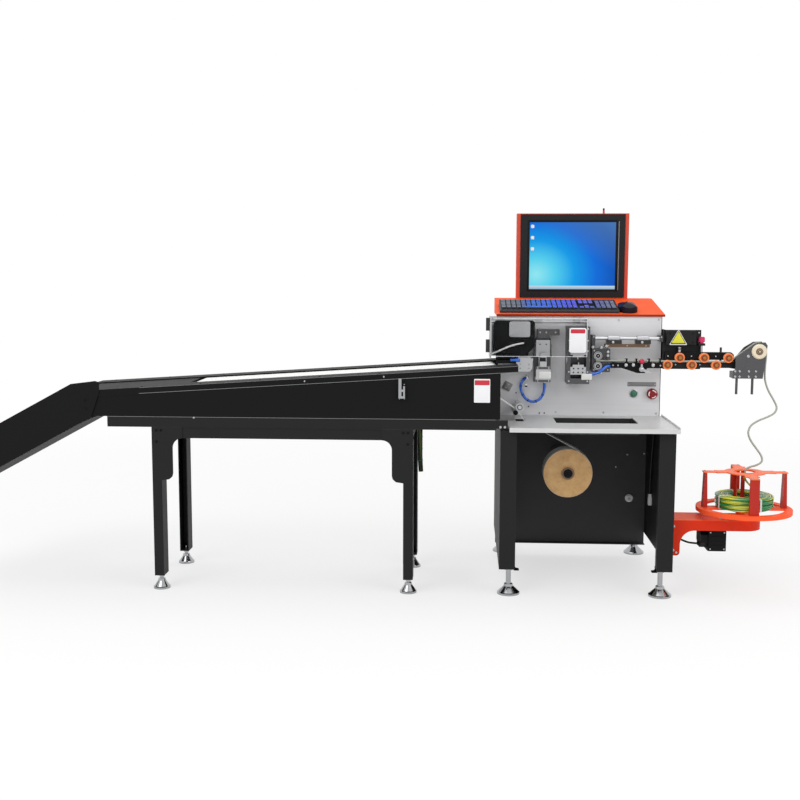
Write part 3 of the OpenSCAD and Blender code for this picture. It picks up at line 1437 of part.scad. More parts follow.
module conveyor_trough() {
    t = sheet;
    floor_z = bench_top_z;
    block = 18;
    color(black) place() {
        for (y = [0, bench_d - t]) side(y, y + t) polygon([
            [conv_x0, floor_z], [conv_x1, floor_z], [conv_x1, belt_z(conv_x1) + rail_low],
            [conv_x0, belt_z(conv_x0) + rail_low]]);
        for (y = [t, bench_d - t - 30]) box([conv_x0, y, floor_z], [bench_x1, y + 30, floor_z + t]);
        ribbon(conv_x0 - 30, rail_x1, -2, rail_w, rail_low, rail_up);
        ribbon(conv_x0 - 30, conv_x1, rear_rail, bench_d + 2, rail_low, rail_up);
        ribbon(conv_x0 - 30, drive_x - loop_r - 4, rail_w, rear_rail, -bed_t, 0);
        ribbon(drive_x + 20, tail_x - 20, rail_w, rear_rail, -belt_t - gap - bed_t, -belt_t - gap);
        rod_y(tail_x, drum_z(tail_x), drum_r, belt_y, belt_y + belt_w);
        for (y = [rail_w - 20, rear_rail]) {
            box([tail_x - block, y, drum_z(tail_x) - 12], [tail_x + block, y + 20, belt_z(tail_x - block) + rail_low]);
            rod_y(tail_x, drum_z(tail_x), drum_shaft_r, min(y, belt_y), max(y + 20, belt_y + belt_w) - (y < 200 ? belt_w : 0));
            difference() {
                box([drive_x - block, y, drum_z(drive_x) - 16],
                    [drive_x + block, y + 20, belt_z(drive_x - block) + rail_low]);
                rod_y(drive_x, drum_z(drive_x), drum_shaft_r + run, y - 1, y + 21);
            }
        }
        latch_base();
    }
}

module conveyor_belt() {
    inner = loop_r - belt_t;
    color([0.93, 0.93, 0.92]) place() translate([tail_x, 0, drum_z(tail_x)]) rotate([0, -slope, 0])
        side(belt_y, belt_y + belt_w) difference() {
            union() {
                circle(loop_r);
                translate([-belt_l, 0]) circle(loop_r);
                translate([-belt_l, -loop_r]) square([belt_l, 2 * loop_r]);
            }
            circle(inner);
            translate([-belt_l, 0]) circle(inner);
            translate([-belt_l, -inner]) square([belt_l, 2 * inner]);
        }
}

module drive_drum() {
    color(silver) place() {
        rod_y(drive_x, drum_z(drive_x), drum_r, belt_y, belt_y + belt_w);
        rod_y(drive_x, drum_z(drive_x), drum_shaft_r, rail_w - 24, rear_rail + 24);
    }
}

// Chute: a folded tray with two walls, hung on the conveyor's left end
module outlet_chute() {
    t = sheet;
    fall = tan(chute_slope);
    z1 = bench_top_z - 27;
    rear_cut = 30;
    z0 = z1 - chute_run * fall;
    y0 = -2 - t;
    y1 = bench_d + 2 + t;
    neck = 74;
    color(black) place() {
        side(y0, y0 + t) polygon([
            [chute_x0, z0], [chute_x1, z1], [chute_x1 + 40, z1 + 18], [chute_x1 + neck, z1 + chute_wall - 42],
            [chute_x1 + neck, z1 + chute_wall - 8], [chute_x1 + 60, z1 + chute_wall - 4],
            [chute_x1 - 27, z1 + chute_wall - 15], [chute_x0, z0 + chute_wall]]);
        side(y1 - t, y1) polygon([
            [chute_x0, z0], [chute_x1, z1], [chute_x1 + 40, z1 + 18], [chute_x1 + 46, z1 + chute_wall - 66],
            [chute_x1 + 20, z1 + chute_wall - 52], [chute_x1 - 27, z1 + chute_wall - 15 - rear_cut],
            [chute_x0, z0 + chute_wall - rear_cut]]);
        side(y0 + t, y1 - t) polygon([
            [chute_x0, z0], [chute_x1, z1], [chute_x1 + 40, z1 + 18], [chute_x1 + 40, z1 + 18 + 3.4],
            [chute_x1, z1 + 3.4], [chute_x0, z0 + 3.4]]);
    }
}

// Latch on the conveyor's front: base with ears and pin, and its lever
latch_x = -341;
latch_z = bench_top_z + 76;
latch_y = -11;
latch_pin_r = 2.5;

module latch_base() {
    w = latch_w / 2 + gap;
    box([latch_x - w - 3, -3, latch_z - 10], [latch_x + w + 3, 0, latch_z + 50]);
    for (s = [-1, 1]) {
        box([latch_x + s * (w + 1.5) - 1.5, latch_y - 5, latch_z - 6],
            [latch_x + s * (w + 1.5) + 1.5, -3, latch_z + 6]);
    }
    rod_x(latch_y, latch_z, latch_pin_r, latch_x - w, latch_x + w);
}

module latch_lever() {
    w = latch_w / 2;
    color(silver) place() difference() {
        union() {
            rod_x(latch_y, latch_z, 5, latch_x - w, latch_x + w);
            box([latch_x - w, latch_y - 5, latch_z], [latch_x - w + 10, latch_y - 2, latch_z + latch_l]);
            box([latch_x + w - 6, latch_y - 5, latch_z], [latch_x + w, latch_y - 2, latch_z + latch_l * 0.6]);
            box([latch_x - w, latch_y - 5, latch_z + latch_l * 0.3], [latch_x + w, latch_y - 2, latch_z + latch_l * 0.42]);
        }
        rod_x(latch_y, latch_z, latch_pin_r + run, latch_x - w - 1, latch_x + w + 1);
    }
}

cabinet_left_side();
cabinet_right_side();
cabinet_back();
levelling_feet();
work_tray();
head_housing();
front_plate();
deck_lid();
start_button();
stop_button();
monitor_housing();
monitor_bezel();
screen_panel();
keyboard();
space_bar();
mouse_body();
mouse_buttons();
safety_cover();
cover_frame();
outlet_carriage();
press_frame();
outlet_clamp();
press_block();
hoses_and_cables();
cutter_column();
upper_blade_holder();
lower_blade_holder();
inlet_block();
upper_feed_wheel();
lower_feed_wheel();
inlet_bar();
inlet_lever();
rod_slider();
straightener_frame();
straightener_upper_bar();
straightener_roller_1();
straightener_roller_2();
straightener_roller_3();
straightener_roller_4();
straightener_roller_5();
straightener_roller_6();
straightener_screw();
pulley_bracket();
guide_pulley();
reel_arm();
reel_motor();
turntable();
reel_cage();
wire_coil();
feed_wire();
tape_roll();
tape_roller();
paper_tape();
bench_top();
bench_legs();
conveyor_trough();
conveyor_belt();
drive_drum();
outlet_chute();
latch_lever();
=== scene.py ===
"""Looks of a wire cutting and stripping machine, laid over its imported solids.

Sizes are in millimetres in the cabinet's frame: X runs from the cabinet's left side towards the reel, Y from
its front towards the back, and Z up from the floor. Meshes are turned into metres in the part's frame.
"""

import logging
import math
from dataclasses import dataclass
from enum import Enum
from typing import Optional, Sequence

import bmesh
import bpy
import numpy as np
from mathutils import Matrix


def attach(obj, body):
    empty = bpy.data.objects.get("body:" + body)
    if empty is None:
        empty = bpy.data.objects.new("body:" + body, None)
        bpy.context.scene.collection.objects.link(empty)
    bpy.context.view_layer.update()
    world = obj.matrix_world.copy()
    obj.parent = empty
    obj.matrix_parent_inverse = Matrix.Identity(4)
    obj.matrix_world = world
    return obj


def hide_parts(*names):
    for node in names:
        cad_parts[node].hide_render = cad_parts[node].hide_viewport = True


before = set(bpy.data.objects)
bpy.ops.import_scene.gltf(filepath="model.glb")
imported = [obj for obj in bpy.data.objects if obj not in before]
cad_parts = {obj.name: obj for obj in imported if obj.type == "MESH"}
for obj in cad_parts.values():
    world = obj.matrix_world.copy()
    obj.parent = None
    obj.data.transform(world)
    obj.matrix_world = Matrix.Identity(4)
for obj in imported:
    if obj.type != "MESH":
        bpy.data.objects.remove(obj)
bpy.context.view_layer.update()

log = logging.getLogger("machine")
Point = tuple[float, float, float]
Flat = tuple[float, float]
Colour = tuple[float, float, float]
Points = Sequence[Point]
Flats = Sequence[Flat]
Socket = bpy.types.NodeSocket
# Point of the cabinet's frame that is the part's origin.
MIDDLE = np.array([-469.5, 327.0, 0.0])
# Millimetres in a metre.
MM = 1000.0
# Line of the wire through the machine.
WIRE_Y = 262.0
WIRE_Z = 810.0
# Angles in degrees past which an edge stays sharp, on hard pieces and on cords.
CREASE = 38.0
SOFT_CREASE = 60.0


def to_part(points: np.ndarray) -> np.ndarray:
    """Turn millimetres in the cabinet's frame into metres in the part's frame."""
    return (np.asarray(points, float) - MIDDLE) / MM


def linear(colour: Colour) -> tuple[float, float, float, float]:
    """Turn a display colour of 0 to 255 into linear light with an alpha of 1."""
    c = np.asarray(colour, float) / 255.0
    low, high = c / 12.92, ((c + 0.055) / 1.055) ** 2.4
    return (*np.where(c <= 0.04045, low, high).tolist(), 1.0)


class Facing(Enum):
    """Ways a detail can face, as its directions across, up and outwards."""

    FRONT = ((1, 0, 0), (0, 0, 1), (0, -1, 0))
    LEFT = ((0, -1, 0), (0, 0, 1), (-1, 0, 0))
    RIGHT = ((0, 1, 0), (0, 0, 1), (1, 0, 0))
    TOP = ((1, 0, 0), (0, 1, 0), (0, 0, 1))
    BELOW = ((1, 0, 0), (0, -1, 0), (0, 0, -1))


@dataclass(frozen=True)
class Plane:
    """A place with three directions, on which flat shapes are drawn."""

    origin: Point
    directions: tuple[Point, Point, Point]

    def place(self, local: np.ndarray) -> np.ndarray:
        """Points at origin + x times across + y times up + z times outwards."""
        return np.asarray(self.origin, float) + np.asarray(local, float) @ np.array(self.directions, float)


def unit(vectors: np.ndarray) -> np.ndarray:
    """Vectors divided by their length."""
    return vectors / np.linalg.norm(vectors, axis=-1, keepdims=True)


def on(facing: Facing, x: float, y: float, z: float) -> Plane:
    """Plane through a point of the cabinet's frame that faces one way."""
    return Plane((x, y, z), facing.value)


def front(x: float, y: float, z: float) -> Plane:
    """Plane through a point that faces the front."""
    return on(Facing.FRONT, x, y, z)


def rounded(width: float, height: float, radius: float, steps: int = 4) -> np.ndarray:
    """Rectangle with round corners about the origin.

    Each corner is its centre plus the radius times (cos a, sin a), for a quarter turn of a.

    Args:
        width: Size across.
        height: Size upwards.
        radius: Radius of the corners.
        steps: Facets in each corner.

    Returns:
        The outline's points, counterclockwise.
    """
    quarter = np.arange(4)[:, None] * np.pi / 2 + np.linspace(0.0, np.pi / 2, steps + 1)[None]
    signs = np.array([[1, 1], [-1, 1], [-1, -1], [1, -1]])[:, None]
    centres = signs * np.array([width / 2 - radius, height / 2 - radius])
    return (centres + radius * np.stack([np.cos(quarter), np.sin(quarter)], -1)).reshape(-1, 2)


def softened(corners: Flats, radius: float, steps: int = 4) -> np.ndarray:
    """Outline through corners that a curve replaces.

    Each corner c with neighbours p and n becomes the quadratic curve (1-t)^2 a + 2t(1-t) c + t^2 b, where a
    and b lie one radius from c towards p and n.

    Args:
        corners: Corners, counterclockwise.
        radius: Length that the curve takes off each side.
        steps: Facets in each corner.

    Returns:
        The outline's points.
    """
    c = np.asarray(corners, float)
    a = c + radius * unit(np.roll(c, 1, 0) - c)
    b = c + radius * unit(np.roll(c, -1, 0) - c)
    t = np.linspace(0.0, 1.0, steps + 1)[None, :, None]
    return ((1 - t) ** 2 * a[:, None] + 2 * t * (1 - t) * c[:, None] + t**2 * b[:, None]).reshape(-1, 2)


def slab(outline: np.ndarray, layers: Flats) -> np.ndarray:
    """Layers of an outline, each moved inwards along the outline's normals and set at its height.

    Args:
        outline: Points, counterclockwise.
        layers: Inset and height of each layer.

    Returns:
        Rings of points (layer, point, 3).
    """
    along = np.roll(outline, -1, 0) - np.roll(outline, 1, 0)
    along = along / np.maximum(np.linalg.norm(along, axis=1, keepdims=True), 1e-9)
    inwards = np.stack([-along[:, 1], along[:, 0]], -1)
    lay = np.asarray(layers, float)
    flat = outline[None] + lay[:, :1, None] * inwards[None]
    height = np.broadcast_to(lay[:, 1:, None], (len(lay), len(outline), 1))
    return np.concatenate([flat, height], -1)


def plate(outline: np.ndarray, low: float, high: float, edge: float = 0.5) -> np.ndarray:
    """Slab from low to high whose front edge is broken by a small bevel."""
    return slab(outline, [(0.0, low), (0.0, high - edge), (edge * 0.3, high - edge * 0.3), (edge, high)])


def turned(profile: Flats, sides: int = 32) -> np.ndarray:
    """Surface of revolution (r cos a, r sin a, h) for each radius r and height h of the profile.

    Args:
        profile: Radius and height of each ring.
        sides: Facets round it.

    Returns:
        Rings of points.
    """
    p = np.asarray(profile, float)
    a = np.arange(sides) * 2.0 * np.pi / sides
    return np.stack(
        [p[:, :1] * np.cos(a), p[:, :1] * np.sin(a), np.broadcast_to(p[:, 1:], (len(p), sides))], -1
    )


def smooth(points: Points, steps: int) -> np.ndarray:
    """Catmull-Rom curve through points.

    Between b and c, with a before and d after them, it is half of
    2b + (c-a)t + (2a-5b+4c-d)t^2 + (3b-a-3c+d)t^3.

    Args:
        points: Points that the curve goes through.
        steps: Parts between two points.

    Returns:
        Points of the curve.
    """
    p = np.asarray(points, float)
    q = np.concatenate([p[:1], p, p[-1:]])
    a, b, c, d = (q[i : len(q) - 3 + i, None] for i in range(4))
    t = (np.arange(steps) / steps)[None, :, None]
    curve = 0.5 * (2 * b + (c - a) * t + (2 * a - 5 * b + 4 * c - d) * t**2 + (3 * b - a - 3 * c + d) * t**3)
    return np.concatenate([curve.reshape(-1, 3), p[-1:]])


def lengths(path: np.ndarray) -> np.ndarray:
    """Length along a path up to each of its points."""
    return np.concatenate([[0.0], np.cumsum(np.linalg.norm(np.diff(path, axis=0), axis=1))])


def tube(path: np.ndarray, radius: float, sides: int = 12) -> np.ndarray:
    """Round tube along a path.

    Each ring is p + r (cos a s + sin a o), where s is square to the tangent and to the direction that lies
    least along the whole path, and o is square to the tangent and s.

    Args:
        path: Points of the centre line.
        radius: Radius of the tube.
        sides: Facets round it.

    Returns:
        Rings of points.
    """
    tangent = unit(np.gradient(path, axis=0))
    grid = np.array(np.meshgrid([-1, 0, 1], [-1, 0, 1], [0, 1])).reshape(3, -1).T.astype(float)
    ways = unit(grid[np.linalg.norm(grid, axis=1) > 0])
    way = ways[np.argmin(np.abs(tangent @ ways.T).max(0))]
    side = unit(np.cross(tangent, way))
    other = np.cross(tangent, side)
    a = np.arange(sides) * 2.0 * np.pi / sides
    across, out = np.cos(a)[None, :, None], np.sin(a)[None, :, None]
    return path[:, None] + radius * (across * side[:, None] + out * other[:, None])


def bar(
    a: Point, b: Point, width: float, depth: float, up: Point = (0, 0, 1), edge: float = 0.6
) -> np.ndarray:
    """Straight bar with broken edges: a rounded rectangle carried from one end to the other.

    Args:
        a: Middle of one end.
        b: Middle of the other end.
        width: Size square to the up direction.
        depth: Size along the up direction.
        up: Direction that the bar's section keeps.
        edge: Radius of its edges.

    Returns:
        Two rings of points.
    """
    start, end = np.asarray(a, float), np.asarray(b, float)
    along = unit(end - start)
    side = unit(np.cross(up, along))
    high = np.cross(along, side)
    ring = rounded(width, depth, min(edge, width / 2.01, depth / 2.01), 2)
    flat = ring[:, :1] * side + ring[:, 1:] * high
    return np.stack([start + flat, end + flat])


class Skin:
    """Closed surfaces gathered into one mesh, with a coordinate along and round each of them."""

    def __init__(self) -> None:
        """Start with no surface."""
        self.points: list[np.ndarray] = []
        self.quads: list[np.ndarray] = []
        self.fans: list[np.ndarray] = []
        self.quad_uv: list[np.ndarray] = []
        self.fan_uv: list[np.ndarray] = []
        self.quad_slot: list[np.ndarray] = []
        self.fan_slot: list[np.ndarray] = []
        self.count = 0

    def add(
        self, rings: np.ndarray, place: Optional[Plane] = None, slot: int = 0,
        along: Optional[np.ndarray] = None, looped: bool = False,
    ) -> "Skin":
        """Join neighbouring rings by quads, close each ring, and fan both ends to their middle.

        Args:
            rings: Points (ring, point, 3).
            place: Plane on which they are drawn, or none for the cabinet's frame.
            slot: Index of the material.
            along: Coordinate of each ring, from 0 to 1 if none is given.
            looped: Whether the last ring joins the first, with no ends.

        Returns:
            This skin.
        """
        pts = rings if place is None else place.place(rings)
        m, n = pts.shape[:2]
        u = np.linspace(0.0, 1.0, m) if along is None else np.asarray(along, float)
        rows = m if looped else m - 1
        i, j = np.arange(rows)[:, None], np.arange(n)[None]
        i2, j2 = (i + 1) % m, (j + 1) % n
        around = np.stack([i * n + j, i * n + j2, i2 * n + j2, i2 * n + j], -1)
        self.quads.append(self.count + around.reshape(-1, 4))
        u2 = np.append(u, u[-1] + u[1] - u[0])
        low, high = np.broadcast_to(u2[i], (rows, n)), np.broadcast_to(u2[i + 1], (rows, n))
        v0, v1 = np.broadcast_to(j / n, (rows, n)), np.broadcast_to((j + 1) / n, (rows, n))
        corners = ((low, v0), (low, v1), (high, v1), (high, v0))
        uv = np.stack([np.stack(corner, -1) for corner in corners], 2)
        self.quad_uv.append(uv.reshape(-1, 4, 2))
        self.quad_slot.append(np.full(rows * n, slot))
        flat = pts.reshape(-1, 3)
        if not looped:
            k, k2 = np.arange(n), (np.arange(n) + 1) % n
            ends = self.count + m * n
            first = np.stack([np.full(n, ends), k2 + self.count, k + self.count], -1)
            top = (m - 1) * n + self.count
            last = np.stack([np.full(n, ends + 1), top + k, top + k2], -1)
            self.fans += [first, last]
            for at in (u[0], u[-1]):
                mid = np.stack([np.full(n, at), k / n], -1)
                self.fan_uv.append(np.stack([mid, mid, np.stack([np.full(n, at), (k + 1) / n], -1)], 1))
            self.fan_slot.append(np.full(2 * n, slot))
            flat = np.concatenate([flat, pts[0].mean(0)[None], pts[-1].mean(0)[None]])
        self.points.append(flat)
        self.count += len(flat)
        return self

    def piece(
        self, name: str, *finishes: "Finish", body: str = "machine", crease: float = CREASE
    ) -> bpy.types.Object:
        """Make the mesh, turn its faces outwards and let the piece ride on a body.

        Args:
            name: Name of the piece.
            finishes: Finish of each material index.
            body: Body that it moves with.
            crease: Angle in degrees past which an edge stays sharp.

        Returns:
            The object.
        """
        quads = np.concatenate(self.quads)
        fans = np.concatenate(self.fans) if self.fans else np.zeros((0, 3), int)
        mesh = bpy.data.meshes.new(name)
        points = to_part(np.concatenate(self.points))
        mesh.vertices.add(len(points))
        mesh.vertices.foreach_set("co", points.ravel())
        loops = np.concatenate([quads.ravel(), fans.ravel()])
        mesh.loops.add(len(loops))
        mesh.loops.foreach_set("vertex_index", loops.astype(np.int32))
        starts = np.concatenate([4 * np.arange(len(quads)), 4 * len(quads) + 3 * np.arange(len(fans))])
        mesh.polygons.add(len(starts))
        mesh.polygons.foreach_set("loop_start", starts.astype(np.int32))
        slots = np.concatenate(self.quad_slot + self.fan_slot)
        mesh.polygons.foreach_set("material_index", slots.astype(np.int32))
        mesh.update(calc_edges=True)
        layer = mesh.uv_layers.new(name="UVMap")
        uv = np.concatenate([np.concatenate(self.quad_uv).ravel()] + [part.ravel() for part in self.fan_uv])
        layer.data.foreach_set("uv", uv)
        mesh.validate()
        work = bmesh.new()
        work.from_mesh(mesh)
        bmesh.ops.recalc_face_normals(work, faces=work.faces)
        work.to_mesh(mesh)
        work.free()
        mesh.polygons.foreach_set("use_smooth", np.ones(len(mesh.polygons), bool))
        mesh.set_sharp_from_angle(angle=math.radians(crease))
        piece = bpy.data.objects.new(name, mesh)
        bpy.context.scene.collection.objects.link(piece)
        for finish in finishes:
            mesh.materials.append(finish.material())
        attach(piece, body)
        log.info("%s: %d faces on %s", name, len(mesh.polygons), body)
        return piece


# Materials that are already built, by name.
FINISHED: dict[str, bpy.types.Material] = {}


class Sheet:
    """Small helper that adds shader nodes to one tree and joins them."""

    def __init__(self, tree: bpy.types.NodeTree) -> None:
        """Work on a tree."""
        self.tree = tree

    def node(self, kind: str, inputs: Optional[dict] = None, **settings: object) -> bpy.types.Node:
        """Add a node, set its properties, and set or join its inputs.

        Args:
            kind: Node type, without the ShaderNode that it starts with.
            inputs: Values or output sockets for the inputs, by name or index.
            settings: Properties of the node.

        Returns:
            The node.
        """
        made = self.tree.nodes.new("ShaderNode" + kind)
        for key, value in settings.items():
            setattr(made, key, value)
        for key, value in (inputs or {}).items():
            if isinstance(value, Socket):
                self.tree.links.new(value, made.inputs[key])
            else:
                made.inputs[key].default_value = value
        return made

    def math(self, operation: str, a: object, b: object = 0.0, clamp: bool = False) -> Socket:
        """Result of a math node on two values or sockets."""
        return self.node("Math", {0: a, 1: b}, operation=operation, use_clamp=clamp).outputs[0]

    def times(self, a: object, b: object) -> Socket:
        """Product of two values or sockets."""
        return self.math("MULTIPLY", a, b)

    def plus(self, a: object, b: object) -> Socket:
        """Sum of two values or sockets."""
        return self.math("ADD", a, b)

    def minus(self, a: object, b: object) -> Socket:
        """Difference of two values or sockets."""
        return self.math("SUBTRACT", a, b)

    def vector(self, operation: str, a: object, b: object = (0.0, 0.0, 0.0)) -> bpy.types.Node:
        """Vector math node on two places or sockets."""
        return self.node("VectorMath", {0: a, 1: b}, operation=operation)

    def join(self, socket: Socket, target: Socket) -> None:
        """Join an output to an input."""
        self.tree.links.new(socket, target)

    def mix(self, mask: object, a: object, b: object, blend: str = "MIX") -> Socket:
        """Colour a turned into colour b where the mask is 1."""
        made = self.node("Mix", {"Factor": mask, 6: a, 7: b}, data_type="RGBA", blend_type=blend)
        return made.outputs[2]

    def span(
        self, value: object, low: float, high: float, to_low: float = 0.0, to_high: float = 1.0
    ) -> Socket:
        """Value mapped from low..high to another range, clamped."""
        return self.node(
            "MapRange", {0: value, 1: low, 2: high, 3: to_low, 4: to_high}, clamp=True
        ).outputs[0]

    def noise(self, place: object, scale: float, detail: float = 3.0, rough: float = 0.5) -> Socket:
        """Noise value from 0 to 1 over a place."""
        return self.node(
            "TexNoise", {"Vector": place, "Scale": scale, "Detail": detail, "Roughness": rough}
        ).outputs["Fac"]

    def ramp(self, value: object, stops: Sequence[tuple[float, Colour]]) -> Socket:
        """Colour at a value between stops.

        Args:
            value: Socket that the ramp reads.
            stops: Place from 0 to 1 and display colour of each stop, in order.

        Returns:
            The colour.
        """
        made = self.node("ValToRGB", {0: value})
        ramp = made.color_ramp
        while len(ramp.elements) < len(stops):
            ramp.elements.new(0.5)
        for element, (at, colour) in zip(ramp.elements, stops):
            element.position = at
            element.color = linear(colour)
        return made.outputs[0]

    def group(self, effect: bpy.types.NodeTree, inputs: dict) -> bpy.types.Node:
        """Place an effect's group with its inputs."""
        return self.node("Group", inputs, node_tree=effect)


class Effects:
    """Node groups that several finishes share, each built once."""

    made: dict[str, bpy.types.NodeTree] = {}

    @classmethod
    def start(
        cls, name: str, inputs: Sequence[tuple[str, str, float]], outputs: Sequence[str]
    ) -> tuple[Sheet, dict, dict]:
        """Begin a group with named sockets.

        Args:
            name: Name of the group.
            inputs: Name, kind and default of each input; a vector has no default.
            outputs: Names of the number outputs.

        Returns:
            The sheet, the group's inputs and the sockets to join its outputs to.
        """
        tree = bpy.data.node_groups.new(name, "ShaderNodeTree")
        for title, kind, value in inputs:
            socket = tree.interface.new_socket(name=title, in_out="INPUT", socket_type=kind)
            if kind == "NodeSocketFloat":
                socket.default_value = value
        for title in outputs:
            tree.interface.new_socket(name=title, in_out="OUTPUT", socket_type="NodeSocketFloat")
        sheet = Sheet(tree)
        entry, leave = tree.nodes.new("NodeGroupInput"), tree.nodes.new("NodeGroupOutput")
        cls.made[name] = tree
        return sheet, {s.name: s for s in entry.outputs}, {s.name: s for s in leave.inputs}

    @classmethod
    def grain(cls) -> bpy.types.NodeTree:
        """Fine grain: a tone about 0, a height for bump and slow clouds for roughness."""
        if "fine_grain" not in cls.made:
            inputs = [("Place", "NodeSocketVector", 0), ("Scale", "NodeSocketFloat", 900.0)]
            sheet, given, out = cls.start("fine_grain", inputs, ["Tone", "Height", "Clouds"])
            fine = sheet.noise(given["Place"], 1.0, 2.0)
            sheet.join(given["Scale"], fine.node.inputs["Scale"])
            slow = sheet.noise(given["Place"], scale=9.0, detail=4.0, rough=0.6)
            fine_tone = sheet.times(sheet.minus(fine, 0.5), 0.6)
            tone = sheet.plus(fine_tone, sheet.minus(slow, 0.5))
            sheet.join(tone, out["Tone"])
            sheet.join(fine, out["Height"])
            sheet.join(slow, out["Clouds"])
        return cls.made["fine_grain"]

    @classmethod
    def worn_and_highlit_edge(cls) -> bpy.types.NodeTree:
        """Mask of the edges: 1 where the rounded normal leaves the true one, broken up by noise; it carries
        both edge wear and painted edge highlights.
        """
        if "worn_and_highlit_edge" not in cls.made:
            inputs = [("Place", "NodeSocketVector", 0), ("Reach", "NodeSocketFloat", 0.0015)]
            sheet, given, out = cls.start("worn_and_highlit_edge", inputs, ["Mask"])
            round_normal = sheet.node("Bevel", {"Radius": given["Reach"]}, samples=4).outputs[0]
            true = sheet.node("NewGeometry").outputs["Normal"]
            same = sheet.vector("DOT_PRODUCT", round_normal, true).outputs["Value"]
            edge = sheet.span(same, low=0.995, high=0.85)
            specks = sheet.noise(given["Place"], scale=60.0, detail=5.0, rough=0.7)
            broken = sheet.span(specks, low=0.42, high=0.62, to_low=0.3, to_high=1.0)
            sheet.join(sheet.times(edge, broken), out["Mask"])
        return cls.made["worn_and_highlit_edge"]

    @classmethod
    def brushed(cls) -> bpy.types.NodeTree:
        """Long scratches along one axis: noise over the place times a vector, as a tone and a height."""
        if "brushed" not in cls.made:
            inputs = [("Place", "NodeSocketVector", 0), ("Stretch", "NodeSocketVector", 0)]
            sheet, given, out = cls.start("brushed", inputs, ["Tone", "Height"])
            long = sheet.vector("MULTIPLY", given["Place"], given["Stretch"]).outputs[0]
            lines = sheet.noise(long, scale=1.0, detail=4.0, rough=0.65)
            sheet.join(sheet.minus(lines, 0.5), out["Tone"])
            sheet.join(lines, out["Height"])
        return cls.made["brushed"]

    @classmethod
    def dust(cls) -> bpy.types.NodeTree:
        """Mask of dust: more on faces that look up, in soft clouds."""
        if "settled_dust" not in cls.made:
            sheet, given, out = cls.start("settled_dust", [("Place", "NodeSocketVector", 0)], ["Mask"])
            normal = sheet.node("NewGeometry").outputs["Normal"]
            up = sheet.span(sheet.node("SeparateXYZ", {0: normal}).outputs["Z"], low=0.2, high=0.95)
            clouds = sheet.noise(given["Place"], scale=22.0, detail=5.0, rough=0.65)
            cloud = sheet.span(clouds, low=0.35, high=0.75)
            sheet.join(sheet.times(up, cloud), out["Mask"])
        return cls.made["settled_dust"]


# Spread of roughness by clouds, depth of the bump in metres, and roughness of a coat and of full dust.
CLOUD_SPREAD = 0.16
BUMP_DEPTH = 0.001
COAT_ROUGH = 0.12
DUST_ROUGH = 0.3


@dataclass(frozen=True)
class Finish:
    """Painted, plated or moulded surface with grain, tone, edges that show wear and painted highlights, and
    dust.

    Colours are display values of 0 to 255, the edge mask's reach is in metres, the slot names the material.
    """

    name: str
    slot: str
    colour: Colour
    rough: float = 0.5
    metal: float = 0.0
    shine: float = 0.5
    coat: float = 0.0
    grain: float = 500
    bump: float = 0.08
    tone: float = 0.10
    # Share and colour of the edge mask: wear where the colour is darker than the paint, a painted edge
    # highlight where it is a lighter copy of it.
    edge_wear_and_highlight: float = 0.0
    edge_wear_and_highlight_colour: Colour = (150, 150, 150)
    reach: float = 0.0015
    dust: float = 0.0
    dust_colour: Colour = (150, 146, 138)

    def place(self, sheet: Sheet) -> Socket:
        """Object coordinates of the piece."""
        return sheet.node("TexCoord").outputs["Object"]

    def paint(self, sheet: Sheet, place: Socket) -> object:
        """Colour before tone, wear and dust."""
        return linear(self.colour)

    def relief(self, sheet: Sheet, place: Socket, fine: Socket) -> Socket:
        """Height that the bump reads."""
        return fine

    def fittings(self, sheet: Sheet, shader: bpy.types.Node, place: Socket) -> None:
        """Extra inputs of the shader."""

    def material(self) -> bpy.types.Material:
        """Material with this finish, built once.

        Returns:
            The material: its own colour, then tone, edge wear with painted edge highlights, and dust over
                it.
        """
        if self.name in FINISHED:
            return FINISHED[self.name]
        made = bpy.data.materials.new(self.name)
        FINISHED[self.name] = made
        made.use_nodes = True
        tree = made.node_tree
        tree.nodes.clear()
        sheet = Sheet(tree)
        place = self.place(sheet)
        grain = sheet.group(Effects.grain(), {"Place": place, "Scale": self.grain})
        colour = self.paint(sheet, place)
        shade = sheet.plus(sheet.times(grain.outputs["Tone"], self.tone * 2), 1.0)
        grey = sheet.node("CombineXYZ", {0: shade, 1: shade, 2: shade}).outputs[0]
        colour = sheet.mix(1.0, colour, grey, "MULTIPLY")
        clouds = sheet.times(grain.outputs["Clouds"], CLOUD_SPREAD)
        rough = sheet.plus(clouds, self.rough - CLOUD_SPREAD / 2)
        # Edges take the mixed-in colour: wear where it is darker than the paint, a painted highlight where
        # it is a lighter copy of the paint.
        if self.edge_wear_and_highlight > 0:
            edge = sheet.group(Effects.worn_and_highlit_edge(), {"Place": place, "Reach": self.reach}).outputs["Mask"]
            colour = sheet.mix(sheet.times(edge, self.edge_wear_and_highlight), colour, linear(self.edge_wear_and_highlight_colour))
        if self.dust > 0:
            lying = sheet.group(Effects.dust(), {"Place": place}).outputs["Mask"]
            amount = sheet.times(lying, self.dust)
            colour = sheet.mix(amount, colour, linear(self.dust_colour))
            rough = sheet.math("ADD", rough, sheet.times(amount, DUST_ROUGH), True)
        height = self.relief(sheet, place, grain.outputs["Height"])
        bump = sheet.node("Bump", {"Strength": self.bump, "Distance": BUMP_DEPTH, "Height": height})
        shader = sheet.node("BsdfPrincipled", {
            "Base Color": colour, "Roughness": rough, "Normal": bump.outputs[0], "Metallic": self.metal,
            "Specular IOR Level": self.shine, "Coat Weight": self.coat, "Coat Roughness": COAT_ROUGH,
        })
        self.fittings(sheet, shader, place)
        sheet.node("OutputMaterial", {"Surface": shader.outputs[0]})
        return made


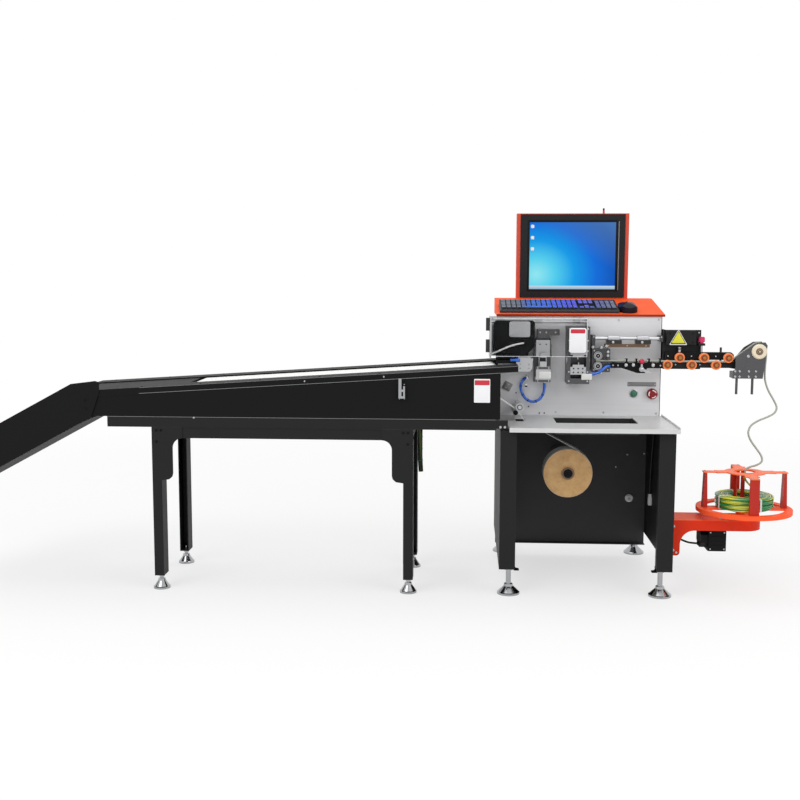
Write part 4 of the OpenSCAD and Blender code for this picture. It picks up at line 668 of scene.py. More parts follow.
@dataclass(frozen=True)
class BrushedFinish(Finish):
    """Metal with long fine scratches; stretch holds the scratches' density along X, Y and Z."""

    stretch: Point = (4.0, 900.0, 900.0)
    depth: float = 0.12

    def paint(self, sheet: Sheet, place: Socket) -> object:
        """Colour varied along the scratches."""
        lines = sheet.group(Effects.brushed(), {"Place": place, "Stretch": self.stretch}).outputs["Tone"]
        shade = sheet.plus(sheet.times(lines, self.depth * 4), 1.0)
        grey = sheet.node("CombineXYZ", {0: shade, 1: shade, 2: shade}).outputs[0]
        return sheet.mix(1.0, linear(self.colour), grey, "MULTIPLY")

    def relief(self, sheet: Sheet, place: Socket, fine: Socket) -> Socket:
        """Scratches and grain together."""
        lines = sheet.group(Effects.brushed(), {"Place": place, "Stretch": self.stretch}).outputs["Height"]
        return sheet.plus(lines, sheet.times(fine, 0.3))


@dataclass(frozen=True)
class Zone:
    """Box inside which a surface has its own colour and metal, open on the sides that aren't given."""

    colour: Colour
    metal: float = 0.0
    low: Point = (-math.inf, -math.inf, -math.inf)
    high: Point = (math.inf, math.inf, math.inf)

    @classmethod
    def above(cls, height: float, colour: Colour, metal: float = 0.0) -> "Zone":
        """Everything above a height."""
        return cls(colour, metal, low=(-math.inf, -math.inf, height))

    def mask(self, sheet: Sheet, place: Socket) -> object:
        """1 inside the box and 0 outside it.

        Args:
            sheet: Sheet that gets the nodes.
            place: Object coordinates.

        Returns:
            The product of one comparison for each side that isn't open.
        """
        axes = sheet.node("SeparateXYZ", {0: place}).outputs
        inside: object = 1.0
        for ends, test in ((self.low, "GREATER_THAN"), (self.high, "LESS_THAN")):
            for axis, value in enumerate(ends):
                if math.isfinite(value):
                    limit = (value - float(MIDDLE[axis])) / MM
                    inside = sheet.times(inside, sheet.math(test, axes[axis], limit))
        return inside


@dataclass(frozen=True)
class ZonedFinish(BrushedFinish):
    """Finish whose colour and metal change inside zones."""

    grain: float = 1300
    tone: float = 0.06
    edge_wear_and_highlight: float = 0.3
    zones: tuple[Zone, ...] = ()

    def paint(self, sheet: Sheet, place: Socket) -> object:
        """Brushed colour, then each zone's own colour over it."""
        colour = super().paint(sheet, place)
        for zone in self.zones:
            colour = sheet.mix(zone.mask(sheet, place), colour, linear(zone.colour))
        return colour

    def fittings(self, sheet: Sheet, shader: bpy.types.Node, place: Socket) -> None:
        """Metal of each zone."""
        metal: object = self.metal
        for zone in self.zones:
            share = zone.mask(sheet, place)
            kept = sheet.times(metal, sheet.minus(1.0, share))
            metal = sheet.plus(kept, sheet.times(share, zone.metal))
        sheet.join(metal, shader.inputs["Metallic"])


@dataclass(frozen=True)
class RollFinish(Finish):
    """Tape roll: a tan card disc with turned rings on its faces, and wound pale tape round it."""

    centre: Point = (0.0, 0.0, 0.0)
    wound: Colour = (216, 218, 214)

    def radius(self, sheet: Sheet, place: Socket) -> Socket:
        """Distance from the roll's axis, which runs along Y."""
        away = sheet.vector("SUBTRACT", place, self.centre).outputs[0]
        flat = sheet.vector("MULTIPLY", away, (1.0, 0.0, 1.0)).outputs[0]
        return sheet.vector("LENGTH", flat).outputs["Value"]

    def face(self, sheet: Sheet) -> Socket:
        """Mask of the two flat faces."""
        normal = sheet.node("NewGeometry").outputs["Normal"]
        across = sheet.math("ABSOLUTE", sheet.node("SeparateXYZ", {0: normal}).outputs["Y"])
        return sheet.math("GREATER_THAN", across, 0.6)

    def paint(self, sheet: Sheet, place: Socket) -> object:
        """Card with rings and specks on the faces, layers of tape round them."""
        away = sheet.node("CombineXYZ", {0: self.radius(sheet, place)}).outputs[0]
        rings = sheet.times(sheet.noise(away, scale=900.0, detail=2.0), 0.35)
        blotch = sheet.times(sheet.noise(place, scale=28.0, detail=5.0, rough=0.7), 0.65)
        stops = [(0.3, (160, 120, 74)), (0.5, self.colour), (0.72, (206, 168, 116))]
        card = sheet.ramp(sheet.plus(rings, blotch), stops)
        y = sheet.node("SeparateXYZ", {0: place}).outputs["Y"]
        across = sheet.node("CombineXYZ", {0: y}).outputs[0]
        layers = sheet.noise(across, scale=700.0, detail=2.0)
        tape = sheet.ramp(layers, [(0.3, (190, 194, 190)), (0.6, self.wound), (0.8, (236, 238, 234))])
        return sheet.mix(self.face(sheet), tape, card)


@dataclass(frozen=True)
class WireFinish(Finish):
    """Insulated wire: a stripe of a second colour winds round it, read from the tube's own map."""

    stripe: Colour = (206, 208, 60)
    width: float = 0.3
    turns: float = 60.0

    def paint(self, sheet: Sheet, place: Socket) -> object:
        """Base colour with its stripe."""
        uv = sheet.node("SeparateXYZ", {0: sheet.node("TexCoord").outputs["UV"]})
        wound = sheet.times(uv.outputs["X"], self.turns)
        phase = sheet.math("FRACT", sheet.plus(uv.outputs["Y"], wound))
        band = sheet.math("LESS_THAN", phase, self.width)
        return sheet.mix(band, linear(self.colour), linear(self.stripe))


@dataclass(frozen=True)
class KeyFinish(Finish):
    """Key caps lit from below: a hue that runs along the keyboard, between two places in metres."""

    left: float = 0.0
    right: float = 1.0
    glow: float = 0.18

    def paint(self, sheet: Sheet, place: Socket) -> object:
        """Colour along the keyboard, from slate through blue and violet back to slate."""
        x = sheet.node("SeparateXYZ", {0: place}).outputs["X"]
        return sheet.ramp(
            sheet.span(x, self.left, self.right),
            [(0.0, (96, 104, 112)), (0.15, (98, 108, 124)), (0.25, (62, 100, 196)), (0.42, (66, 92, 214)),
             (0.6, (84, 80, 214)), (0.72, (104, 98, 206)), (0.84, (96, 100, 150)), (1.0, (120, 124, 138))],
        )

    def fittings(self, sheet: Sheet, shader: bpy.types.Node, place: Socket) -> None:
        """Faint glow of the same hue."""
        sheet.join(self.paint(sheet, place), shader.inputs["Emission Color"])
        shader.inputs["Emission Strength"].default_value = self.glow


@dataclass(frozen=True)
class ScreenFinish(Finish):
    """Lit screen: a soft glow from its lower left corner over blue, with a pale bar at its foot."""

    low: Point = (0.0, 0.0, 0.0)
    size: Flat = (0.337, 0.262)
    middle: Flat = (0.08, 0.22)
    foot: float = 0.052
    light: float = 0.9

    def picture(self, sheet: Sheet, place: Socket) -> Socket:
        """Colour of the lit picture.

        Args:
            sheet: Sheet that gets the nodes.
            place: Object coordinates.

        Returns:
            A glow that fades away from its middle, haze at the upper right and a pale bar at the foot.
        """
        across = sheet.vector("SUBTRACT", place, self.low).outputs[0]
        part = sheet.node("SeparateXYZ", {0: across})
        u = sheet.math("DIVIDE", part.outputs["X"], self.size[0])
        v = sheet.math("DIVIDE", part.outputs["Z"], self.size[1])
        du, dv = sheet.minus(u, self.middle[0]), sheet.minus(v, self.middle[1])
        wide = sheet.times(du, du)
        high = sheet.times(sheet.times(dv, dv), 0.8)
        far = sheet.math("SQRT", sheet.plus(wide, high))
        glow = sheet.ramp(
            far,
            [(0.0, (150, 240, 250)), (0.22, (84, 214, 246)), (0.45, (6, 160, 240)), (0.7, (0, 112, 226)),
             (1.0, (0, 74, 176))],
        )
        corner = sheet.plus(sheet.times(u, 0.55), sheet.times(v, 0.75))
        haze = sheet.span(corner, low=0.75, high=1.3)
        body = sheet.mix(sheet.times(haze, 0.75), glow, linear((84, 134, 190)))
        foot = sheet.math("LESS_THAN", v, self.foot)
        rise = sheet.span(v, 0.0, self.foot)
        bar_colour = sheet.mix(rise, linear((150, 182, 208)), linear((206, 224, 238)))
        return sheet.mix(foot, body, bar_colour)

    def paint(self, sheet: Sheet, place: Socket) -> object:
        """Dark glass under the light."""
        return linear(self.colour)

    def fittings(self, sheet: Sheet, shader: bpy.types.Node, place: Socket) -> None:
        """Light of the picture."""
        sheet.join(self.picture(sheet, place), shader.inputs["Emission Color"])
        shader.inputs["Emission Strength"].default_value = self.light


@dataclass(frozen=True)
class ClearFinish(Finish):
    """Clear plastic sheet with faint smears, see-through by its alpha."""

    clearness: float = 0.14

    def fittings(self, sheet: Sheet, shader: bpy.types.Node, place: Socket) -> None:
        """Alpha that rises a little in the smears."""
        smear = sheet.span(sheet.noise(place, scale=14.0, detail=4.0, rough=0.6), low=0.4, high=0.8)
        alpha = sheet.plus(sheet.times(smear, 0.04), self.clearness)
        sheet.join(alpha, shader.inputs["Alpha"])


# Heights and places, in the cabinet's frame, at which a imported node changes its colour.
# Above ARM_TOP_Z the orange is painted lighter: a painted highlight on faces lit from above.
ARM_TOP_Z = 267.2
# Above SPIDER_Z the cage's red is painted a lighter orange: a painted highlight on the spider's top.
SPIDER_Z = 427.5
TRAY_Z = 584.5
PAN_LOW = (150.0, 100.0, 540.0)
PAN_HIGH = (500.0, 285.0, 597.0)
# In front of LID_FRONT_Y the lid is painted dark red: painted shade on its front lip.
LID_FRONT_Y = 326.6
COVER_END_X = -36.1
SLIDER_BLOCK_Z = 870.1
SLIDER_ROD_Z = 884.1
ROD_LOW = (283.5, 883.5)
ROD_HIGH = (296.5, 896.5)
LEVER_BALL_Z = 800.5
SCREW_KNOB_Z = 874.2
PIN_Y = 283.0
PIN_Z = 842.5
PIN_HALF = 4.5


def pin_zone(x: float, colour: Colour, metal: float = 0.0) -> Zone:
    """Zone round a guide pin of the straightener, from the lower bar's top upwards."""
    low = (x - PIN_HALF, PIN_Y - PIN_HALF, PIN_Z)
    return Zone(colour, metal, low=low, high=(x + PIN_HALF, PIN_Y + PIN_HALF, math.inf))


BLACK_SHEET = Finish(
    "black_sheet", "black_sheet", (29, 29, 30), 0.54, shine=0.17, grain=1400, bump=0.10, tone=0.14,
    edge_wear_and_highlight=0.35, edge_wear_and_highlight_colour=(96, 96, 98), dust=0.05,
)
PANEL_BLACK = Finish(
    "panel_black", "black_sheet", (14, 14, 15), 0.57, shine=0.13, grain=1400, bump=0.10, tone=0.14,
    edge_wear_and_highlight=0.30, edge_wear_and_highlight_colour=(84, 84, 86), dust=0.04,
)
MATT_BLACK = Finish(
    "matt_black", "black_sheet", (15, 15, 16), 0.6, shine=0.14, grain=1200, tone=0.15, edge_wear_and_highlight=0.2,
    edge_wear_and_highlight_colour=(70, 70, 72),
)
BACK_SHEET = Finish(
    "back_sheet", "black_sheet", (66, 66, 68), 0.55, shine=0.2, grain=1200, tone=0.12, edge_wear_and_highlight=0.2,
    edge_wear_and_highlight_colour=(110, 110, 112),
)
# Grey of painted highlights along edges: the rail's folds, the bench's top edge and the bezel's right side.
PAINTED_HIGHLIGHT_GREY = Finish("painted_edge_highlight", "black_sheet", (128, 128, 130), 0.40, shine=0.4, grain=1400)
# Grey of the painted highlight along a leg's fold.
PAINTED_FOLD_HIGHLIGHT = Finish("painted_fold_highlight", "black_sheet", (74, 74, 76), 0.45, shine=0.4, grain=1400, tone=0.12)
# Lit and shaded copies of one orange: the base is the darker side, and the zone paints faces above the arm's
# top lighter as a painted highlight. The pale orange dust colour adds a faint painted highlight on faces
# that look up.
ORANGE = ZonedFinish(
    "orange_sheet", "orange_sheet", (212, 46, 10), 0.52, shine=0.18, bump=0.09, edge_wear_and_highlight_colour=(244, 112, 60),
    dust=0.02, dust_colour=(240, 150, 100), stretch=(40.0, 40.0, 40.0), depth=0.015,
    zones=(Zone.above(ARM_TOP_Z, (252, 92, 46)),),
)
# Its zone paints the lid's front lip, in front of LID_FRONT_Y, a dark red: painted shade.
LID_ORANGE = ZonedFinish(
    "lid_orange", "orange_sheet", (240, 84, 14), 0.55, shine=0.16, bump=0.09, tone=0.05,
    edge_wear_and_highlight_colour=(250, 128, 70), stretch=(40.0, 40.0, 40.0), depth=0.015,
    zones=(Zone((150, 40, 14), high=(math.inf, LID_FRONT_Y, math.inf)),),
)
PANEL_ORANGE = Finish(
    "panel_orange", "orange_sheet", (204, 78, 56), 0.55, shine=0.2, grain=1300, bump=0.09, tone=0.06,
    edge_wear_and_highlight=0.30, edge_wear_and_highlight_colour=(236, 130, 100),
)
# Lit and shaded copies of one sheet: the posts below SPIDER_Z keep a darker red as painted shade, and the
# spider above it is painted a lighter orange as a painted highlight.
CAGE = ZonedFinish(
    "red_sheet", "red_sheet", (176, 34, 18), 0.44, shine=0.32, bump=0.09, tone=0.07,
    edge_wear_and_highlight_colour=(236, 110, 70), stretch=(40.0, 40.0, 40.0), depth=0.02,
    zones=(Zone.above(SPIDER_Z, (250, 112, 60)),),
)
PLATE = BrushedFinish(
    "plate_metal", "plate_metal", (214, 214, 216), 0.44, metal=0.15, shine=0.4, grain=700, bump=0.04,
    tone=0.025, edge_wear_and_highlight=0.35, edge_wear_and_highlight_colour=(226, 226, 228), stretch=(3.0, 500.0, 420.0), depth=0.035,
)
TRAY = ZonedFinish(
    "tray_metal", "tray_metal", (204, 205, 204), 0.38, metal=0.35, grain=700, bump=0.04, tone=0.03, edge_wear_and_highlight=0.5,
    edge_wear_and_highlight_colour=(232, 232, 232), reach=0.002, dust=0.04, stretch=(5.0, 420.0, 420.0), depth=0.05,
    zones=(
        Zone((24, 24, 25), high=(math.inf, math.inf, TRAY_Z)),
        Zone((40, 40, 42), low=PAN_LOW, high=PAN_HIGH),
    ),
)
STEEL = BrushedFinish(
    "steel", "steel", (176, 177, 179), 0.30, metal=0.85, grain=800, bump=0.05, tone=0.05, edge_wear_and_highlight=0.4,
    edge_wear_and_highlight_colour=(228, 228, 230), reach=0.001, stretch=(60.0, 60.0, 900.0), depth=0.07,
)
DARK_STEEL = BrushedFinish(
    "dark_steel", "dark_steel", (84, 84, 86), 0.40, metal=0.7, grain=800, bump=0.06, edge_wear_and_highlight=0.55,
    edge_wear_and_highlight_colour=(160, 160, 162), reach=0.001, stretch=(50.0, 50.0, 700.0), depth=0.08,
)
CHROME = Finish(
    "chromed", "chromed", (168, 169, 171), 0.16, metal=1.0, grain=300, bump=0.03, tone=0.06, edge_wear_and_highlight=0.25,
    edge_wear_and_highlight_colour=(235, 235, 236),
)
ZINC = Finish(
    "zinc_screws", "steel", (188, 188, 190), 0.28, metal=0.9, grain=600, tone=0.08, edge_wear_and_highlight=0.4,
    edge_wear_and_highlight_colour=(235, 235, 235), reach=0.0006,
)
BRASS = Finish("brass_hub", "brown_metal", (176, 118, 52), 0.34, metal=0.5)
BROWN = BrushedFinish(
    "brown_metal", "brown_metal", (112, 88, 70), 0.38, metal=0.6, grain=600, tone=0.12, edge_wear_and_highlight=0.4,
    edge_wear_and_highlight_colour=(190, 170, 150), stretch=(12.0, 400.0, 400.0), depth=0.08,
)
RED_PLASTIC = Finish(
    "red_plastic", "red_plastic", (132, 6, 22), 0.34, shine=0.3, coat=0.1, grain=400, bump=0.03, tone=0.06
)
GREEN_PLASTIC = Finish(
    "green_plastic", "green_plastic", (18, 108, 76), 0.30, coat=0.3, grain=400, bump=0.03, tone=0.08
)
PINK_PLASTIC = Finish(
    "pink_plastic", "pink_plastic", (206, 34, 98), 0.32, coat=0.25, grain=400, bump=0.03, tone=0.08
)
KEY_FRAME = Finish(
    "key_frame", "key_plastic", (30, 32, 38), 0.45, shine=0.4, grain=1500, bump=0.10, edge_wear_and_highlight=0.3,
    edge_wear_and_highlight_colour=(80, 84, 94),
)
ROLLER = Finish(
    "roller_plastic", "roller_plastic", (240, 128, 58), 0.32, coat=0.25, grain=260, bump=0.05, edge_wear_and_highlight=0.4,
    edge_wear_and_highlight_colour=(252, 196, 128), reach=0.0012,
)
CREAM = Finish(
    "cream_plastic", "cream_plastic", (222, 210, 184), 0.36, coat=0.2, grain=300, bump=0.04, tone=0.07,
    edge_wear_and_highlight=0.3, edge_wear_and_highlight_colour=(242, 236, 220),
)
BLUE_HOSE = Finish("blue_hose", "blue_hose", (16, 96, 206), 0.20, coat=0.5, grain=240, bump=0.03)
WHITE_LEAD = Finish("white_lead", "blue_hose", (226, 226, 226), 0.35, tone=0.05)
BLACK_LEAD = Finish("black_lead", "blue_hose", (20, 20, 21), 0.45, shine=0.3, grain=700, tone=0.15)
SLEEVE = Finish(
    "wire_sleeve", "wire_sleeve", (152, 155, 142), 0.28, shine=0.55, coat=0.3, grain=220, bump=0.03,
    tone=0.06,
)
COIL_WIRE = WireFinish(
    "coil_wire", "wire_sleeve", (30, 132, 72), 0.30, coat=0.3, grain=300, bump=0.03, tone=0.12,
    stripe=(206, 212, 60), width=0.34, turns=5.0,
)
BUNDLE = WireFinish(
    "bundle_wrap", "blue_hose", (40, 44, 34), 0.6, shine=0.3, tone=0.25, stripe=(92, 104, 48), width=0.2,
    turns=2.0,
)
WHITE_TAPE = Finish("white_tape", "white_tape", (232, 233, 230), 0.5, bump=0.05, tone=0.04)
CARD = RollFinish(
    "cardboard", "cardboard", (186, 146, 94), 0.45, shine=0.4, grain=900, bump=0.12, tone=0.06, edge_wear_and_highlight=0.3,
    edge_wear_and_highlight_colour=(120, 84, 50), centre=tuple(to_part([248, 195, 412]).tolist()),
)
BELT = BrushedFinish(
    "belt_rubber", "belt_rubber", (236, 236, 235), 0.55, shine=0.35, grain=1100, bump=0.10, tone=0.03,
    dust=0.05, dust_colour=(190, 188, 184), stretch=(3.0, 260.0, 260.0), depth=0.02,
)
KEYS = KeyFinish(
    "key_plastic", "key_plastic", (90, 90, 200), 0.42, shine=0.4, grain=1200, bump=0.06, tone=0.12, edge_wear_and_highlight=0.5,
    edge_wear_and_highlight_colour=(176, 186, 226), reach=0.0012, left=0.480, right=0.908,
)
SCREEN = ScreenFinish(
    "screen", "screen", (4, 6, 9), 0.10, shine=0.1, grain=400, bump=0.0, tone=0.04,
    low=tuple(to_part([126.3, 641, 1064]).tolist()),
)
CLEAR = ClearFinish(
    "clear_sheet", "clear_sheet", (40, 44, 46), 0.08, shine=0.12, grain=300, bump=0.02, tone=0.03,
    clearness=0.05,
)
# Nearly white, nearly opaque strips: painted highlights on the cover's edges.
CLEAR_EDGE_HIGHLIGHT = ClearFinish(
    "painted_clear_edge_highlight", "clear_sheet", (240, 244, 246), 0.2, grain=300, tone=0.03, clearness=0.72
)
SIGN_WHITE = Finish(
    "sign_white", "plate_metal", (234, 234, 236), 0.35, grain=700, tone=0.03, edge_wear_and_highlight=0.2,
    edge_wear_and_highlight_colour=(190, 190, 190),
)
SIGN_RED = Finish("sign_red", "red_plastic", (198, 34, 54), 0.35, grain=700, tone=0.05)
BEZEL = Finish(
    "bezel_plastic", "black_plastic", (26, 26, 28), 0.45, shine=0.2, grain=1800, bump=0.14, tone=0.12,
    edge_wear_and_highlight=0.35, edge_wear_and_highlight_colour=(90, 90, 92),
)
MOUSE = Finish(
    "mouse_plastic", "black_plastic", (22, 17, 28), 0.42, shine=0.15, grain=600, bump=0.02, tone=0.08
)
AMBER = Finish("amber_hub", "brown_metal", (150, 66, 22), 0.34, metal=0.15, coat=0.2)
FRAME_END = ZonedFinish(
    "cover_end", "steel", (26, 26, 27), 0.42, grain=800, bump=0.05, tone=0.05, edge_wear_and_highlight_colour=(200, 200, 202),
    stretch=(60.0, 60.0, 900.0), depth=0.04,
    zones=(Zone((176, 177, 179), 0.85, low=(COVER_END_X, -math.inf, -math.inf)),),
)
SLIDER = ZonedFinish(
    "slider_metal", "brown_metal", (104, 80, 62), 0.34, metal=0.5, grain=600, tone=0.10,
    edge_wear_and_highlight_colour=(190, 176, 160), stretch=(12.0, 400.0, 400.0), depth=0.05,
    zones=(Zone.above(SLIDER_BLOCK_Z, (22, 22, 23)), Zone.above(SLIDER_ROD_Z, (186, 187, 190), 0.9)),
)
INLET_METAL = ZonedFinish(
    "inlet_metal", "dark_steel", (72, 72, 74), 0.34, metal=0.7, grain=800, bump=0.06, tone=0.10, edge_wear_and_highlight=0.5,
    edge_wear_and_highlight_colour=(170, 170, 172), reach=0.001, stretch=(50.0, 50.0, 700.0), depth=0.08,
    zones=(Zone((206, 207, 210), 1.0, low=(-math.inf, *ROD_LOW), high=(math.inf, *ROD_HIGH)),),
)
LEVER = ZonedFinish(
    "lever_metal", "red_plastic", (180, 181, 184), 0.26, metal=0.9, coat=0.2, grain=600, edge_wear_and_highlight=0.0,
    stretch=(60.0, 60.0, 60.0), depth=0.03, zones=(Zone.above(LEVER_BALL_Z, (186, 16, 56)),),
)
SCREW = ZonedFinish(
    "screw_metal", "pink_plastic", (176, 177, 180), 0.30, metal=0.85, coat=0.2, grain=500, edge_wear_and_highlight=0.0,
    stretch=(60.0, 60.0, 60.0), depth=0.03, zones=(Zone.above(SCREW_KNOB_Z, (206, 30, 92)),),
)
BARS = ZonedFinish(
    "bar_black", "black_sheet", (23, 23, 24), 0.55, shine=0.22, grain=1400, bump=0.10, tone=0.14,
    edge_wear_and_highlight_colour=(84, 84, 86), stretch=(40.0, 40.0, 40.0), depth=0.02,
    zones=(pin_zone(655.0, (226, 226, 222)), pin_zone(803.0, (60, 60, 62), 0.6)),
)
SIGN_YELLOW = Finish("sign_yellow", "plate_metal", (212, 208, 46), 0.35, grain=700, tone=0.06)
SIGN_PALE = Finish("sign_pale", "plate_metal", (214, 215, 212), 0.35, grain=700, tone=0.05)
NAMEPLATE = BrushedFinish(
    "nameplate", "plate_metal", (122, 122, 122), 0.36, metal=0.6, stretch=(6.0, 300.0, 300.0), depth=0.08
)


def dress(finish: Finish, *nodes: str) -> None:
    """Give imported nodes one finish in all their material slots.

    Args:
        finish: Finish of the nodes.
        nodes: Names of the nodes.
    """
    for name in nodes:
        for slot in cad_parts[name].material_slots:
            slot.material = finish.material()
        log.info("%s: dressed in %s", name, finish.name)


def screw_profile(radius: float, height: float) -> list[Flat]:
    """Profile of a round screw head with a socket in it."""
    return [
        (radius, -0.2), (radius, height * 0.6), (radius * 0.8, height), (radius * 0.45, height),
        (radius * 0.42, height * 0.35),
    ]


@dataclass(frozen=True)
class Screws:
    """Equal screw heads that face one way, each 0.6 of its radius high where no height is given."""

    radius: float
    places: Points
    facing: Facing = Facing.FRONT
    height: float = 0.0
    sides: int = 14

    def add_to(self, skin: Skin, slot: int = 0) -> None:
        """Put the heads on a skin."""
        head = turned(screw_profile(self.radius, self.height or self.radius * 0.6), self.sides)
        for x, y, z in self.places:
            skin.add(head, on(self.facing, x, y, z), slot)


def screw_piece(name: str, finish: Finish, *groups: Screws, body: str = "machine") -> None:
    """Make one piece of groups of screw heads.

    Args:
        name: Name of the piece.
        finish: Finish of all the heads.
        groups: Heads, each group of one size.
        body: Body that it moves with.
    """
    skin = Skin()
    for group in groups:
        group.add_to(skin)
    skin.piece(name, finish, body=body)


@dataclass(frozen=True)
class Lamp:
    """Soft square lamp: place, target and size in metres, power in watts."""

    name: str
    place: Point
    target: Point
    size: float
    power: float

    def build(self) -> None:
        """Make the lamp and turn it to its target."""
        data = bpy.data.lights.new(self.name, "AREA")
        data.size, data.energy = self.size, self.power
        holder = bpy.data.objects.new(self.name, data)
        back = unit(np.asarray(self.place, float) - np.asarray(self.target, float))
        side = unit(np.cross((0.0, 0.0, 1.0), back))
        turn = Matrix(np.stack([side, np.cross(back, side), back], -1).tolist()).to_4x4()
        holder.matrix_world = Matrix.Translation(self.place) @ turn
        bpy.context.scene.collection.objects.link(holder)


@dataclass
class Studio:
    """Camera, lamps, world and floor; the eye is in millimetres, the angles are in radians."""

    eye: Point = (-125.3495, -3765.0266, 1123.6609)
    yaw: float = -0.059
    pitch: float = 0.1145
    roll: float = 0.0019
    lens: float = 49.42
    sensor: float = 36.0
    near: float = 0.05
    far: float = 200.0
    ambient: float = 0.78
    floor_half: float = 40.0
    floor_fade: Flat = (1.6, 4.5)
    floor_white: float = 0.62
    lamps: Sequence[Lamp] = (
        Lamp("key", (-2.6, -4.2, 4.4), (0.2, 0.0, 0.6), 3.2, 95.0),
        Lamp("fill", (3.6, -3.4, 3.0), (0.6, 0.0, 0.8), 2.6, 42.0),
        Lamp("top", (0.4, 0.4, 4.6), (0.4, 0.0, 0.8), 3.0, 40.0),
    )

    def camera(self) -> None:
        """Camera at the photograph's place, turned by yaw, then down by pitch, then rolled."""
        data = bpy.data.cameras.new("camera")
        data.lens, data.sensor_width = self.lens, self.sensor
        data.clip_start, data.clip_end = self.near, self.far
        holder = bpy.data.objects.new("camera", data)
        sy, cy, sp, cp = math.sin(self.yaw), math.cos(self.yaw), math.sin(self.pitch), math.cos(self.pitch)
        ahead = np.array([sy * cp, cy * cp, -sp])
        right = np.array([cy, -sy, 0.0])
        up = np.cross(right, ahead)
        across = math.cos(self.roll) * right + math.sin(self.roll) * up
        high = -math.sin(self.roll) * right + math.cos(self.roll) * up
        turn = Matrix(np.stack([across, high, -ahead], -1).tolist()).to_4x4()
        holder.matrix_world = Matrix.Translation(to_part(self.eye).tolist()) @ turn
        bpy.context.scene.collection.objects.link(holder)
        bpy.context.scene.camera = holder

    def seen(self, sheet: Sheet) -> Socket:
        """1 for the camera's rays and those that gloss and glass send on, and 0 for all others."""
        path = sheet.node("LightPath").outputs
        bright = sheet.math("MAXIMUM", path["Is Camera Ray"], path["Is Glossy Ray"])
        return sheet.math("MAXIMUM", bright, path["Is Transmission Ray"])

    def world(self) -> None:
        """Even pale light, seen as plain white by the camera and in gloss and glass."""
        world = bpy.data.worlds.new("studio")
        world.use_nodes = True
        world.node_tree.nodes.clear()
        sheet = Sheet(world.node_tree)
        strength = sheet.span(self.seen(sheet), 0.0, 1.0, self.ambient, 1.0)
        light = sheet.node("Background", {"Color": (1.0, 1.0, 1.0, 1.0), "Strength": strength})
        sheet.node("OutputWorld", {"Surface": light.outputs[0]})
        bpy.context.scene.world = world

    def floor(self) -> None:
        """Large pale floor that keeps the shadow near the machine and fades to white away from it."""
        mesh = bpy.data.meshes.new("floor")
        h = self.floor_half
        mesh.from_pydata([(-h, -h, 0), (h, -h, 0), (h, h, 0), (-h, h, 0)], [], [(0, 1, 2, 3)])
        floor = bpy.data.objects.new("floor", mesh)
        bpy.context.scene.collection.objects.link(floor)
        made = bpy.data.materials.new("floor")
        made.use_nodes = True
        made.node_tree.nodes.clear()
        sheet = Sheet(made.node_tree)
        place = sheet.node("TexCoord").outputs["Object"]
        away = sheet.vector("LENGTH", place).outputs["Value"]
        fade = sheet.span(away, *self.floor_fade, self.floor_white, 1.0)
        share = sheet.times(self.seen(sheet), fade)
        matt = sheet.node("BsdfDiffuse", {"Color": (0.9, 0.9, 0.9, 1.0)})
        lit = sheet.node("Emission", {"Color": (1.0, 1.0, 1.0, 1.0), "Strength": 1.0})
        both = sheet.node("MixShader", {0: share, 1: matt.outputs[0], 2: lit.outputs[0]})
        sheet.node("OutputMaterial", {"Surface": both.outputs[0]})
        mesh.materials.append(made)

    def build(self) -> None:
        """Set up the whole studio."""
        bpy.context.scene.view_settings.view_transform = "Standard"
        self.camera()
        self.world()
        for lamp in self.lamps:
            lamp.build()
        self.floor()


class Lie(Enum):
    """Ways a cord lies."""

    LOOSE = "loose"
    HANGING = "hanging"


